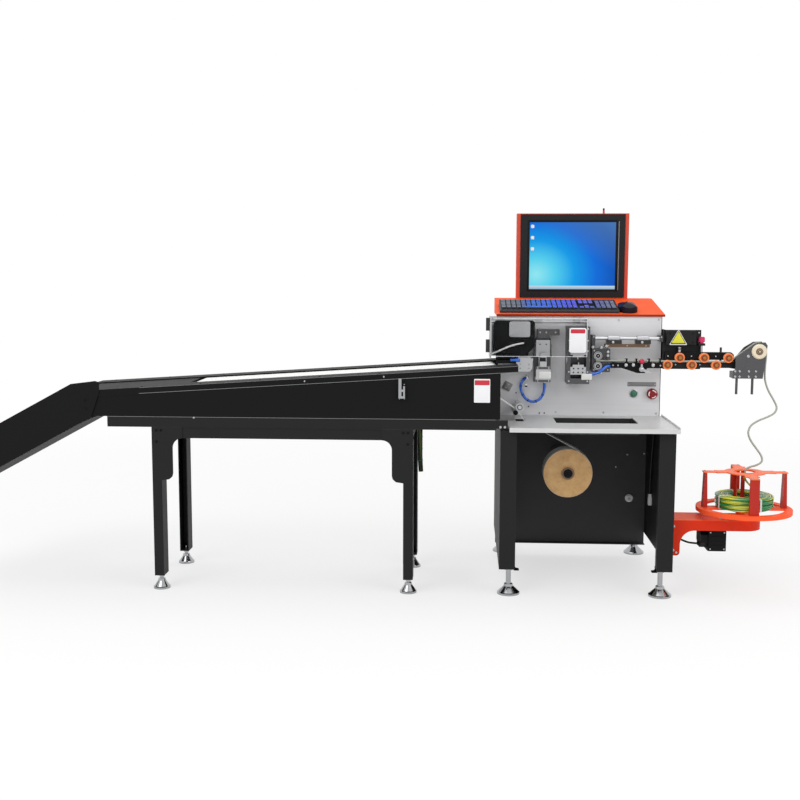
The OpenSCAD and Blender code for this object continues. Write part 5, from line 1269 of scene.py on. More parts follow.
@dataclass
class Cords:
    """Hoses, leads and the wire, each along its route in the source."""

    outlet_hose: Points = (
        (105, 338, 740), (104, 330, 740), (98, 321, 738), (89, 315, 729), (83, 312, 710), (86, 310, 688),
        (97, 309, 669), (114, 308, 656), (134, 306, 653), (154, 306, 664), (166, 307, 684), (170, 308, 708),
        (170, 308, 729.7),
    )
    inlet_hose: Points = (
        (327.3, 253, 762), (337, 253, 762), (350, 250, 764), (363, 248, 770), (376, 250, 780),
        (386, 255, 788), (395, 258, 791), (403.7, 258, 791),
    )
    signal_cable: Points = (
        (-29, 252, 834), (-8, 250, 842), (14, 248, 852), (38, 247, 862), (62, 247, 869), (84, 250, 873),
        (92, 255, 874),
    )
    motor_lead: Points = (
        (603.3, 150, 196), (612, 150, 196), (630, 148, 191), (652, 142, 180), (676, 133, 172),
        (699, 128, 170), (711.7, 128, 170),
    )
    bundle: Points = (
        (-292, 372, 620.7), (-292, 372, 600), (-292, 371, 560), (-292, 370, 520), (-292, 370, 480),
        (-292, 369, 440), (-291, 369, 410), (-290, 370, 390), (-289, 371, 374),
    )
    inner_lead: Points = (
        (592, 397, 581.7), (592, 398, 560), (591.5, 401, 530), (591, 407, 495), (590.5, 414, 460),
        (590, 423, 425), (590, 432, 385), (590, 439, 345), (590, 443, 310), (590, 443, 280),
    )
    wire: Points = (
        (866, 125, 430), (868.4, 125, 440), (885, 130, 448), (909, 139, 453), (929, 149, 464),
        (929, 158, 483),
        (914, 168, 507), (896, 178, 534), (888, 187, 560), (899, 198, 585), (927, 208, 602), (960, 218, 614),
        (988, 228, 628), (998, 237, 648), (987, 246, 676), (970, 254, 708), (959, 260, 745), (958, 262, 785),
        (960, 262, 822), (960, 262, 848),
    )
    straight: Sequence[float] = (796, 766.5, 713, 660, 610, 560, 520, 480, 416, 352)
    wire_r: float = 3.5
    plug_x: float = 590.0
    plug_y: float = 443.0
    tie_heights: Sequence[float] = (600, 556, 508, 462, 418)
    band_shares: Sequence[float] = (0.22, 0.34, 0.46, 0.58, 0.70, 0.82)
    knots: Points = ((2, 248.4, 846.6), (26, 247.4, 857), (50, 246.8, 865.6))

    def lay(
        self, name: str, points: Points, radius: float, finish: Finish, lie: Lie = Lie.LOOSE,
        end: str = "object", extra: Sequence[bpy.types.Object] = (),
    ) -> bpy.types.Object:
        """Args:
            name: Name of the piece.
            points: Route in the cabinet's frame.
            radius: Radius of the cord.
            finish: Its finish.
            lie: How it lies; not used.
            end: What it ends in; not used.
            extra: Pieces on it; not used.

        Returns:
            The cord.
        """
        path = smooth(points, 4)
        far = lengths(path) / MM
        cord = Skin().add(tube(path, radius, 14), along=far).piece(name, finish, crease=SOFT_CREASE)
        return cord

    def arc(self, x: float, z: float, radius: float, first: float, last: float, steps: int) -> np.ndarray:
        """Points (x + r cos a, y, z + r sin a) at the wire's y, for a between two angles in degrees."""
        a = np.radians(np.linspace(first, last, steps))
        return np.stack([x + radius * np.cos(a), np.full(steps, WIRE_Y), z + radius * np.sin(a)], -1)

    def wire_route(self) -> np.ndarray:
        """Points of the wire.

        Its curve rises from the reel, arcs lie on the pulley and the first roller, and the rest is straight.

        Returns:
            Points of the route.
        """
        rise = smooth(self.wire, 3)
        over = self.arc(930, 848, 30, 20, 127.4, 9)
        under = self.arc(826.5, 823, 13, -52.6, -90, 5)
        ahead = np.array([[x, WIRE_Y, WIRE_Z] for x in self.straight])
        return np.concatenate([rise, over, under, ahead])

    def plug(self) -> bpy.types.Object:
        """White plug of the lead inside the cabinet, with its black sleeve."""
        body = slab(rounded(13, 22, 2), [(1.2, 0), (0, 1.2), (0, 30), (1.5, 31), (1.5, 42), (2.4, 44)])
        plug = Skin().add(body, on(Facing.TOP, self.plug_x, self.plug_y, 240))
        sleeve = turned([(6.2, 0), (6, 4), (4.6, 14), (4.3, 20)], 16)
        plug.add(sleeve, on(Facing.TOP, self.plug_x, self.plug_y, 283.5), 1)
        return plug.piece("inner_plug", SIGN_WHITE, BLACK_LEAD)

    def fed_wire(self) -> None:
        """The wire from the reel to the feed wheels."""
        path = self.wire_route()
        far = lengths(path) / MM
        skin = Skin().add(tube(path, self.wire_r, 14), along=far)
        wire = skin.piece("fed_wire", SLEEVE, crease=SOFT_CREASE)
        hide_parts("feed_wire")

    def bundle_ties(self) -> None:
        """Green ties round the cable bundle, at its place at each height."""
        ties = Skin()
        for z in self.tie_heights:
            y = float(np.interp(z, [418, 600], [369.5, 372.0]))
            x = float(np.interp(z, [418, 440, 600], [-291.3, -292.0, -292.0]))
            ring = turned([(9.2, -1.2), (9.9, -1.2), (10.2, 0), (9.9, 1.2), (9.2, 1.2)], 18)
            ties.add(ring, on(Facing.TOP, x, y, z), looped=True)
        ties.piece("bundle_ties", GREEN_PLASTIC)

    def hose_bands(self) -> None:
        """Black bands at shares of the outlet hose, each square to the hose."""
        bands = Skin()
        ring = turned([(4.9, -1.5), (5.6, -1.5), (5.9, 0), (5.6, 1.5), (4.9, 1.5)], 18)
        route = smooth(self.outlet_hose, 4)
        for share in self.band_shares:
            i = int(share * (len(route) - 1))
            way = unit(route[i + 1] - route[i])
            side = unit(np.cross(way, (0.0, 1.0, 0.0)))
            place = Plane(tuple(route[i]), (tuple(side), tuple(np.cross(way, side)), tuple(way)))
            bands.add(ring, place, looped=True)
        bands.piece("hose_bands", MATT_BLACK)

    def cable_ties(self) -> None:
        """Knotted ties of the signal cable, turned to its slope."""
        knots = Skin()
        ring = turned([(2.9, -3), (3.9, -2.4), (4.3, 0), (3.9, 2.4), (2.9, 3)], 14)
        for x, y, z in self.knots:
            knots.add(ring, Plane((x, y, z), ((0, 1, 0), (-0.42, 0, 0.91), (0.91, 0, 0.42))), looped=True)
            knots.add(plate(rounded(5, 5, 1.2), 0, 3.2), front(x, y - 2.6, z + 1))
        knots.piece("cable_ties", WHITE_LEAD)

    def build(self) -> None:
        """Make every cord and what is tied round it."""
        plug = self.plug()
        hose = self.lay("outlet_hose", self.outlet_hose, 5, BLUE_HOSE)
        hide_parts("hoses_and_cables")
        self.lay("inlet_hose", self.inlet_hose, 5, BLUE_HOSE)
        self.lay("signal_cable", self.signal_cable, 3, WHITE_LEAD)
        self.lay("motor_lead", self.motor_lead, 3.5, BLACK_LEAD)
        self.lay("belt_motor_leads", self.bundle, 9, BUNDLE, Lie.HANGING)
        self.lay("inner_lead", self.inner_lead, 4, BLACK_LEAD, Lie.HANGING, "connector", [plug])
        self.fed_wire()
        self.bundle_ties()
        self.hose_bands()
        self.cable_ties()


@dataclass
class Cabinet:
    """Cabinet with its feet, work tray and the small things inside it."""

    width: float = 600.0
    back_y: float = 600.0
    floor_z: float = 96.0
    nuts: Flats = ((524.6, 410), (480.1, 360.7), (590.6, 414.8))
    gland: Flat = (534.6, 234.5)
    post_in: float = 56.0
    post_y: float = 26.0
    bench_screws: Screws = Screws(4.6, ((-0.7, 0, 598.5), (14.7, 0, 598.5)))

    def build(self) -> None:
        """Nuts, cable gland, brackets under the posts and the bench's screws."""
        dress(BLACK_SHEET, "cabinet_left_side", "cabinet_right_side")
        dress(BACK_SHEET, "cabinet_back")
        dress(CHROME, "levelling_feet")
        dress(TRAY, "work_tray")
        nuts = Skin()
        nut = turned([(3.4, 0), (3.4, 1), (2.4, 1.4), (2.4, 3.6), (1.6, 4.4)], 12)
        for x, z in self.nuts:
            nuts.add(nut, front(x, self.back_y, z))
        nuts.piece("back_nuts", ZINC)
        gland = Skin()
        place = front(self.gland[0], self.back_y, self.gland[1])
        gland.add(
            turned([(16, 0), (16, 3), (14.5, 4.4), (13, 4.6), (12.4, 8), (8, 9.4), (7.6, 5)], 28), place
        )
        gland.add(turned([(5.2, 2), (5.2, 6), (4, 7)], 16), place, 1)
        gland.piece("lamp_gland", SIGN_WHITE, ZINC)
        tabs = Skin()
        for side, x in ((1, self.post_in), (-1, self.width - self.post_in)):
            shape = [(0, 0), (side * 4, 0), (side * 4, -9), (side * 18, -9), (side * 18, -12), (0, -12)]
            place = front(x - side * 4, self.post_y, self.floor_z + 8)
            tabs.add(slab(np.array(shape, float)[::side], [(0, 0), (0, 22)]), place)
        tabs.piece("post_tabs", MATT_BLACK)
        screw_piece("bench_screws", ZINC, self.bench_screws)


@dataclass
class TapeDrive:
    """Tape roll, the paper tape and its roller."""

    roll: Point = (248, 155, 412)
    caps_y: float = 162.6
    caps: Points = ((73, 648.5, 9.6), (58, 629, 9.2))

    def build(self) -> None:
        """Dress the roll and tape, and put the dark hub, the card's rims and the guides' caps on them."""
        dress(CARD, "tape_roll")
        dress(STEEL, "tape_roller")
        dress(WHITE_TAPE, "paper_tape")
        face = front(*self.roll)
        hub = Skin()
        hub.add(turned([(21.8, 3.6), (22.2, 5), (21.4, 6), (17.5, 6.4), (16.5, 4.6)], 32), face)
        hub.add(turned([(16.2, 4.4), (16.2, 5.1), (15, 5.3), (9.2, 5.3), (8.6, 4.6)], 28), face, 1)
        hub.add(turned([(8.2, 4.4), (8.2, 8.2), (6.6, 9.2), (4.4, 9.2), (3.9, 6.6)], 20), face, 1)
        hub.piece("roll_hub", BROWN, MATT_BLACK)
        inner = [(24, 0), (24.6, 0.5), (27.4, 0.5), (28, 0), (28, -0.4), (24, -0.4)]
        outer = [(85, -0.2), (85.4, 0.35), (87.4, 0), (88.3, -2.4), (88.3, -3.4), (85, -3)]
        rims = Skin().add(turned(inner, 36), face, looped=True).add(turned(outer, 56), face, looped=True)
        rims.piece("roll_rims", CARD, body="tape_roll")
        caps = Skin()
        for x, z, r in self.caps:
            cap = turned([(r, 0), (r, 1.2), (r * 0.8, 2.4), (r * 0.42, 2.6), (r * 0.36, 0.9)], 22)
            caps.add(cap, front(x, self.caps_y, z))
        caps.piece("guide_caps", MATT_BLACK)


@dataclass
class Head:
    """Head housing with its front plate, lid, buttons and blank nameplate."""

    plate_y: float = 332.0
    button_z: float = 684.0
    start_x: float = 501.0
    stop_x: float = 567.0
    stop_y: float = 322.0
    name: Flat = (530.2, 718.4)
    name_screws: Screws = Screws(2.2, ((482, 330.9, 718.4), (578.4, 330.9, 718.4)))
    edge: Flat = (594.6, 782)
    plate_screws: Sequence[Screws] = (
        Screws(3.4, ((586, 332, 958), (586, 332, 610), (392, 332, 612), (215, 332, 612), (440, 332, 955))),
        Screws(2.4, ((28.5, 328, 702), (39.5, 328, 714))),
    )
    square: Point = (34, 328, 708)
    square_turn: float = math.radians(-28.0)

    def arrows(self) -> None:
        """Three curved marks on the stop button.

        Each is an arc of a ring, (r cos a, r sin a) at two radii, lifted from the head with a bevelled face.
        """
        marks = Skin()
        for turn in (0.35, 2.44, 4.54):
            a = turn + np.linspace(0.0, 1.25, 12)
            outer = np.stack([15.2 * np.cos(a), 15.2 * np.sin(a)], -1)
            inner = np.stack([11.6 * np.cos(a[::-1]), 11.6 * np.sin(a[::-1])], -1)
            mark = slab(np.concatenate([outer, inner]), [(0, 11.2), (0, 14.25), (0.3, 14.5)])
            marks.add(mark, front(self.stop_x, self.stop_y, self.button_z))
        marks.piece("stop_marks", SIGN_WHITE, body="stop_button")

    def start(self) -> None:
        """Ring and dome of the start button."""
        place = front(self.start_x, self.plate_y, self.button_z)
        ring = turned([(11.9, 2.6), (12.2, 4.8), (13.4, 5.6), (15.2, 5), (15.9, 2.6)], 36)
        Skin().add(ring, place, looped=True).piece("start_ring", ZINC)
        dome = turned([(9.6, 7.4), (9.4, 8.3), (7.2, 9.2), (3.6, 9.8)], 28)
        Skin().add(dome, place).piece("start_dome", GREEN_PLASTIC, body="start_button")

    def build(self) -> None:
        """Nameplate, button rings, painted highlight on the plate's edge, screws and the turned square."""
        dress(BLACK_SHEET, "head_housing")
        dress(PLATE, "front_plate")
        dress(LID_ORANGE, "deck_lid")
        dress(GREEN_PLASTIC, "start_button")
        dress(RED_PLASTIC, "stop_button")
        x, z = self.name
        name = Skin().add(plate(rounded(105, 16, 1.5), -0.2, 1.2, 0.4), front(x, self.plate_y, z))
        self.name_screws.add_to(name, 1)
        name.piece("blank_nameplate", NAMEPLATE, ZINC)
        self.start()
        self.arrows()
        # A white strip down the front plate's right edge: a painted highlight.
        x, z = self.edge
        edge = Skin().add(plate(rounded(2, 356, 0.8), -0.2, 0.5, 0.3), front(x, self.plate_y, z))
        edge.piece("plate_edge_highlight", SIGN_WHITE)
        screw_piece("plate_screws", ZINC, *self.plate_screws)
        c, s = math.cos(self.square_turn), math.sin(self.square_turn)
        place = Plane(self.square, ((c, 0, s), (-s, 0, c), (0, -1, 0)))
        square = Skin().add(plate(rounded(31.4, 31.4, 2), -0.1, 0.7, 0.4), place)
        square.piece("turned_square", NAMEPLATE)


@dataclass
class Workstation:
    """Monitor, keyboard and mouse on the lid."""

    deck_y: float = 326.0
    deck_z: float = 976.0
    angle: float = math.radians(9.52226)
    left: float = 10.0
    first_row: float = 40.0
    case_front: float = 11.0
    case_lift: float = 9.0
    case_depth: float = 159.68
    case_lip: float = 18.0
    pitch: float = 19.0
    rows: int = 6
    columns: int = 22
    gap: float = 2.0
    block_gap: float = 5.0
    block_starts: tuple[int, int] = (15, 18)
    space: tuple[int, int] = (4, 9)
    empty: Sequence[tuple[int, int, int]] = ((1, 15, 1), (1, 17, 1), (2, 15, 3), (5, 18, 4))
    cap_layers: Flats = ((0.2, 3), (0.4, 5.4), (2, 6.9), (5, 6.5))
    screen: tuple[float, float, float, float] = (126.3, 1064, 337, 262)
    bezel_y: float = 634.0
    glass_y: float = 641.0
    strip: float = 8.0
    strip_out: float = 4.8
    tile_step: float = 44.0
    antenna: Point = (417.3, 669, 1373)
    wheel: Point = (480, 100, 22.5)

    def deck(self, x: float, d: float, h: float) -> Plane:
        """Plane on the sloping deck, d up the slope and h above it."""
        c, s = math.cos(self.angle), math.sin(self.angle)
        at = (x, self.deck_y + d * c - h * s, self.deck_z + d * s + h * c)
        return Plane(at, ((1, 0, 0), (0, c, s), (0, -s, c)))

    def case_height(self, d: float) -> float:
        """Height of the keyboard's case at a depth: it lifts evenly towards its back."""
        return self.case_front + self.case_lift * d / self.case_depth

    def is_free(self, row: int, column: int) -> bool:
        """Whether a place on the keyboard has no square cap: under the space bar and between the blocks."""
        under_bar = row == 0 and self.space[0] <= column <= self.space[1]
        return under_bar or any(row == r and first <= column < first + n for r, first, n in self.empty)

    def keys(self) -> None:
        """Key caps.

        Each is a rounded square, or a bar, that draws in twice on its way up and dips in the middle.
        """
        row_d = self.pitch * 1.12
        caps = Skin()
        for row in range(self.rows):
            rise = self.case_height(self.case_lip + row * row_d)
            y = self.first_row + row * row_d + (row_d - self.gap) / 2
            for column in range(self.columns):
                if self.is_free(row, column):
                    continue
                block = sum(self.block_gap for start in self.block_starts if column >= start)
                x = self.left + column * self.pitch + block + (self.pitch - self.gap) / 2
                ring = rounded(self.pitch - self.gap - 0.6, row_d - self.gap - 0.6, 2.2, 1)
                caps.add(slab(ring, self.cap_layers), self.deck(x, y, rise))
        caps.piece("key_caps", KEYS)
        ring = rounded(6 * self.pitch - self.gap - 0.6, row_d - self.gap - 0.6, 2.4, 2)
        x = self.left + 7 * self.pitch - 1.0
        place = self.deck(x, self.first_row + (row_d - self.gap) / 2, self.case_height(self.case_lip))
        Skin().add(slab(ring, self.cap_layers), place).piece("space_cap", KEYS, body="space_bar")

    def monitor(self) -> None:
        """Bezel's inner frame and lit edge, the blank tiles on the screen and the antenna's tip."""
        x, z, w, h = self.screen
        mid_x, mid_z = x + w / 2, z + h / 2
        # A grey strip down the bezel's right side: a painted highlight.
        place = front(x + w + 11, self.bezel_y, mid_z)
        edge = Skin().add(plate(rounded(3, h + 6, 1.2), -0.3, 0.7, 0.3), place)
        edge.piece("bezel_highlight", PAINTED_HIGHLIGHT_GREY)
        upright = plate(rounded(self.strip, h + 17.6, 1), -0.2, 0.5, 0.2)
        level = plate(rounded(w + 1.6, self.strip, 0.6), -0.2, 0.5, 0.2)
        strips = Skin()
        for side in (-1, 1):
            across, up = mid_x + side * (w / 2 + self.strip_out), mid_z + side * (h / 2 + self.strip_out)
            strips.add(upright, front(across, self.bezel_y, mid_z))
            strips.add(level, front(mid_x, self.bezel_y, up))
        strips.piece("bezel_inner_frame", MATT_BLACK)
        marks = Skin()
        for i in range(3):
            tile = plate(rounded(13, 13, 3), -0.2, 0.25, 0.1)
            marks.add(tile, front(x + 11, self.glass_y, z + h - 16 - self.tile_step * i))
        marks.piece("screen_tiles", SIGN_WHITE)
        tip = turned([(3.2, 0), (3.6, 1.5), (3.6, 7), (2.6, 9)], 16)
        Skin().add(tip, on(Facing.TOP, *self.antenna)).piece("antenna_tip", MATT_BLACK)

    def build(self) -> None:
        """Dress and build the workstation."""
        dress(PANEL_ORANGE, "monitor_housing")
        dress(BEZEL, "monitor_bezel")
        dress(SCREEN, "screen_panel")
        dress(KEY_FRAME, "keyboard", "space_bar")
        dress(MOUSE, "mouse_body", "mouse_buttons")
        self.keys()
        self.monitor()
        rim = turned([(5.5, -3.2), (7.2, -2.4), (7.6, 0), (7.2, 2.4), (5.5, 3.2)], 24)
        wheel = Skin().add(rim, on(Facing.RIGHT, *self.deck(*self.wheel).origin))
        wheel.piece("mouse_wheel", MATT_BLACK, body="mouse_buttons")


@dataclass
class Cover:
    """Clear safety cover with painted highlights on its polished edges, blank sign and frame."""

    left: float = -24.0
    right: float = 312.0
    front: float = 200.0
    back: float = 292.0
    low: float = 828.0
    top: float = 965.0
    sign_x: float = 278.5
    sign_z: float = 887.5
    band_z: float = 920.0

    def build(self) -> None:
        """Dress the cover and lay its sign and the painted highlights on its edges."""
        dress(CLEAR, "safety_cover")
        dress(FRAME_END, "cover_frame")
        sign = Skin()
        sign.add(plate(rounded(61, 89, 8), -0.1, 0.9, 0.4), front(self.sign_x, self.front, self.sign_z))
        band = plate(rounded(52, 15, 4), 0.7, 1.2, 0.2)
        sign.add(band, front(self.sign_x, self.front, self.band_z), 1)
        sign.piece("cover_sign", SIGN_WHITE, SIGN_RED, body="cover")
        # Bars along the cover's top, lower and right edges: painted highlights.
        x0, x1, y = self.left + 1, self.right - 1, self.front + 0.2
        top, low, upright, end = self.top + 0.3, self.low + 0.6, self.right - 0.6, self.right - 1.5
        edges = Skin()
        edges.add(bar((x0, y, top), (x1, y, top), 3.4, 2))
        foot, head = (upright, self.front - 0.2, self.low + 1), (upright, self.front - 0.2, self.top - 1)
        edges.add(bar(foot, head, 2, 3.4, (0, 1, 0)))
        edges.add(bar((x0, y, low), (x1, y, low), 3.4, 1.6))
        edges.add(bar((end, self.front + 3, top), (end, self.back, top), 3.2, 1.6))
        edges.piece("cover_edge_highlights", CLEAR_EDGE_HIGHLIGHT, body="cover")


@dataclass
class Outlet:
    """Outlet side inside the safety cover: carriage, guide, press and its cylinder."""

    plate_y: float = 332.0
    press_x: float = 161.0
    press_z: float = 867.1
    pin_step: float = 11.25
    cylinder: tuple[float, float, float, float] = (135, 187, 730, 788)
    cylinder_y: float = 254.0
    label: Point = (168, 254, 757)
    guide_x: Flat = (62, 121)
    guide_screws: Screws = Screws(
        2.7, ((76, 249.6, 782), (107, 249.6, 782), (76, 249.6, 796), (107, 249.6, 796)), height=1.8
    )
    hose_port: Flat = (105, 740)
    fitting_x: float = 70.0
    fitting_z: float = 812.0
    dowels: Points = ((54, 261.5, 931), (92, 261.5, 931))
    face: Point = (73.5, 256, 923.5)
    press_screws: Sequence[Screws] = (
        Screws(3.2, ((150, 290, 911), (172, 290, 911), (206, 290, 911))),
        Screws(2.6, ((136, 322, 868), (186, 322, 868), (136, 322, 740), (186, 322, 740))),
    )

    def actuator(self) -> None:
        """End covers, corner screws, fittings and blank label of the press's air cylinder."""
        left, right, low, top = self.cylinder
        mid = (left + right) / 2
        body, metal = Skin(), Skin()
        for z in (low + 5.5, top - 5.5):
            cap = plate(rounded(right - left + 1.2, 9, 2.2), -0.3, 0.7, 0.4)
            body.add(cap, front(mid, self.cylinder_y, z))
            Screws(2.6, ((left + 6, 253.3, z), (right - 6, 253.3, z))).add_to(metal)
        body.piece("cylinder_covers", DARK_STEEL)
        metal.add(
            turned([(6.4, -0.4), (6.4, 3.4), (5.2, 4.4), (5, 7)], 16), on(Facing.BELOW, 170, 308, low)
        )
        metal.add(turned([(5.6, -0.2), (5.6, 2.6), (3, 3.2)], 6), on(Facing.LEFT, left, 284, 742))
        metal.piece("cylinder_fittings", ZINC)
        label = Skin().add(plate(rounded(43, 25, 1.5), -0.1, 0.35, 0.15), front(*self.label))
        label.piece("cylinder_label", SIGN_PALE)

    def guide(self) -> None:
        """Bushes and screws of the guide block, and the nut where the hose leaves the plate."""
        metal = Skin()
        bush = turned([(6.1, -0.3), (6.1, 1.8), (8.6, 2.4), (9.8, 1.6), (10.2, -0.3)], 28)
        for side, x in zip((Facing.LEFT, Facing.RIGHT), self.guide_x):
            metal.add(bush, on(side, x, WIRE_Y, WIRE_Z), looped=True)
        self.guide_screws.add_to(metal)
        nut = turned([(9.5, 0), (9.5, 3.5), (7.4, 4.2), (7, 8.5), (6, 9.4)], 6)
        metal.add(nut, front(self.hose_port[0], self.plate_y, self.hose_port[1]))
        metal.piece("guide_bushes", ZINC)

    def fitting(self) -> None:
        """Blue fitting on the guide block, with its stem towards the left."""
        root = turned([(6, -0.4), (6, 3), (5, 4), (4.4, 14)], 16)
        stem = turned([(5.2, -5.6), (6.2, -4.6), (6.2, 12), (5.2, 13), (4.6, 30)], 16)
        blue = Skin().add(root, front(self.fitting_x, 249.6, self.fitting_z))
        blue.add(stem, on(Facing.LEFT, self.fitting_x, 236.5, self.fitting_z))
        blue.piece("guide_fitting", BLUE_HOSE)

    def carriage(self) -> None:
        """Dowels, latch and bright face of the carriage."""
        dark = Skin()
        for place in self.dowels:
            dark.add(turned([(5.2, 0), (5, 1.2), (4, 1.6)], 18), front(*place))
        dark.add(plate(rounded(10.5, 5.6, 1.2), -4, -2.6, 0.2), front(102, 256, 897.5))
        dark.piece("carriage_dowels", MATT_BLACK)
        bright = Skin().add(plate(rounded(76, 57, 7.4, 5), -0.2, 0.35, 0.2), front(*self.face))
        bright.piece("carriage_face", STEEL)

    def socket(self) -> None:
        """Plug of the signal cable, on the carriage's plate."""
        plug = Skin()
        plug.add(turned([(3.1, -6), (4.6, -5), (5, 3), (4.2, 5.5)], 16), on(Facing.RIGHT, 90, 254, 873.8))
        plug.add(plate(rounded(17, 12, 2), -0.2, 4.2, 0.8), front(98.5, 261.8, 875.5))
        plug.piece("signal_plug", MATT_BLACK)

    def press(self) -> None:
        """Screws of the press's frame and the pins of its block."""
        screw_piece("press_screws", ZINC, *self.press_screws)
        pins = Skin()
        for x in (self.press_x - self.pin_step, self.press_x + self.pin_step):
            pins.add(turned([(2.4, -1.2), (2.4, 0.6), (1.6, 1.1)], 14), front(x, 284, self.press_z))
        pins.piece("press_pins", MATT_BLACK, body="press_block")

    def build(self) -> None:
        """Build the outlet side."""
        dress(MATT_BLACK, "outlet_carriage")
        dress(DARK_STEEL, "press_frame")
        dress(STEEL, "outlet_clamp", "press_block")
        self.actuator()
        self.guide()
        self.fitting()
        self.carriage()
        self.socket()
        self.press()


@dataclass
class Cutter:
    """Cutter column and its two blade holders."""

    left: float = 246.0
    right: float = 327.0
    front: float = 245.0
    screw_heights: Sequence[float] = (736, 770, 846, 884, 926)
    holder_x: Sequence[float] = (270, 286.5, 303)
    holders: Sequence[tuple[str, Flat, str]] = (
        ("upper_holder_screws", (842, 876), "upper_blade"),
        ("lower_holder_screws", (768, 782), "lower_blade"),
    )
    label: Point = (317.5, 244.7, 752.5)

    def build(self) -> None:
        """Dress the cutter and add its screws, blank label and bushes."""
        dress(DARK_STEEL, "cutter_column")
        dress(STEEL, "upper_blade_holder", "lower_blade_holder")
        places = [(x, self.front, z) for x in (self.left + 7, self.right - 7) for z in self.screw_heights]
        screw_piece("column_screws", ZINC, Screws(3.3, places))
        for name, heights, body in self.holders:
            places = [(x, self.front + 2, z) for x in self.holder_x for z in heights]
            screw_piece(name, MATT_BLACK, Screws(2.8, places), body=body)
        label = Skin().add(plate(rounded(38, 22, 2.5), -0.1, 0.4, 0.15), front(*self.label))
        label.piece("column_label", SIGN_PALE)
        rings = Skin()
        ring = turned([(7.1, -0.3), (7.1, 1.4), (9.6, 2), (11.4, 1.2), (11.8, -0.3)], 28)
        for side, x in ((Facing.LEFT, self.left), (Facing.RIGHT, self.right)):
            rings.add(ring, on(side, x, WIRE_Y, WIRE_Z), looped=True)
        rings.piece("column_bushes", STEEL)


@dataclass
class Inlet:
    """Inlet side: feed wheels, bar with eyelets, lever, guide rod and slider."""

    eyelets: Sequence[float] = (458, 493, 538, 578)
    eyelet_width: float = 7.0
    bar_y: float = 250.0
    block_y: float = 270.3
    studs: Flats = ((458, 796.4), (484, 796.4), (555, 796.4))
    nuts: Flats = (
        (340.5, 859.5), (389, 863), (371, 858), (395, 842), (395, 828.5), (388.5, 787),
        (371, 764),
    )
    screws: Sequence[Screws] = (
        Screws(3, ((412, 250, 794.5), (430, 250, 794.5), (582, 250, 794.5))),
        Screws(3, ((346, 270.3, 776), (396, 270.3, 776), (346, 270.3, 846), (396, 270.3, 846))),
        Screws(2.8, ((344, 278, 896), (588, 278, 896))),
    )
    wheel_x: float = 358.0
    wheels: Sequence[tuple[str, float, str]] = (
        ("upper_wheel_hub", 828.8, "upper_wheel"), ("lower_wheel_hub", 791.2, "lower_wheel"),
    )
    knob_x: Sequence[float] = (413.5, 518.5)
    slider_screws: Screws = Screws(2.4, ((398, 284, 864), (466, 284, 864), (534, 284, 864)))
    rod_y: float = 290.0
    rod_z: float = 890.0
    ring_x: Sequence[float] = (396, 439, 501, 544)

    def bar_parts(self) -> None:
        """Bushes of the eyelets, and the screws, lever's cap, studs and nuts of the bar and the block."""
        bushes = Skin()
        bush = turned([(4, -0.3), (4, 1), (5.4, 1.7), (6.6, 1.2), (6.9, -0.3)], 24)
        for x in self.eyelets:
            for side, at in ((Facing.LEFT, x), (Facing.RIGHT, x + self.eyelet_width)):
                bushes.add(bush, on(side, at, WIRE_Y, WIRE_Z), looped=True)
        bushes.piece("eyelet_bushes", ZINC)
        screws = Skin()
        for group in self.screws:
            group.add_to(screws)
        screws.add(turned([(5.6, -0.2), (5.6, 2.4), (3.4, 3.4), (3.2, 1.6)], 20), front(513, 232, 782))
        stud = turned([(3.4, 0), (3.4, 2.2), (6.2, 3), (6.8, 6), (5.4, 8.6), (2.4, 9.6)], 20)
        for x, z in self.studs:
            screws.add(stud, front(x, self.bar_y, z))
        screws.piece("inlet_screws", ZINC)
        nuts = Skin()
        nut = turned([(6.6, 0), (6.6, 5), (5.4, 6.4), (3.4, 6.4), (3, 9.4), (2, 10)], 6)
        for x, z in self.nuts:
            nuts.add(nut, front(x, self.block_y, z))
        nuts.piece("inlet_nuts", CHROME)

    def wheel_hubs(self) -> None:
        """Dark hub and ring on the front of each feed wheel."""
        for name, z, body in self.wheels:
            cap = turned([(7.8, -0.2), (7.8, 0.6), (6.2, 1.2), (2.6, 1.2), (2.2, -0.4)], 24)
            ring = turned([(11.2, -0.2), (11.6, 0.5), (12.8, 0.5), (13.2, -0.2)], 36)
            hub = Skin().add(cap, front(self.wheel_x, 250, z))
            hub.add(ring, front(self.wheel_x, 254, z), looped=True)
            hub.piece(name, MATT_BLACK, body=body)

    def slider(self) -> None:
        """Knobs, screws and bush rings of the slider on its rod."""
        knobs = Skin()
        for x in self.knob_x:
            knobs.add(
                turned([(2.2, -1), (2.2, 3), (4.6, 3.6), (5, 8), (3.8, 9.2)], 18), front(x, 280, 877)
            )
        self.slider_screws.add_to(knobs)
        knobs.piece("slider_knobs", ZINC, body="slider")
        rings = Skin()
        ring = turned([(6.8, -0.6), (9.6, -0.6), (10.6, 0), (9.6, 0.6), (6.8, 0.6)], 28)
        for x in self.ring_x:
            rings.add(ring, on(Facing.RIGHT, x, self.rod_y, self.rod_z), looped=True)
        rings.piece("bush_rings", MATT_BLACK, body="slider")

    def build(self) -> None:
        """Build the inlet side."""
        dress(INLET_METAL, "inlet_block")
        dress(PANEL_BLACK, "inlet_bar")
        dress(STEEL, "upper_feed_wheel", "lower_feed_wheel")
        dress(LEVER, "inlet_lever")
        dress(SLIDER, "rod_slider")
        self.bar_parts()
        self.wheel_hubs()
        self.slider()


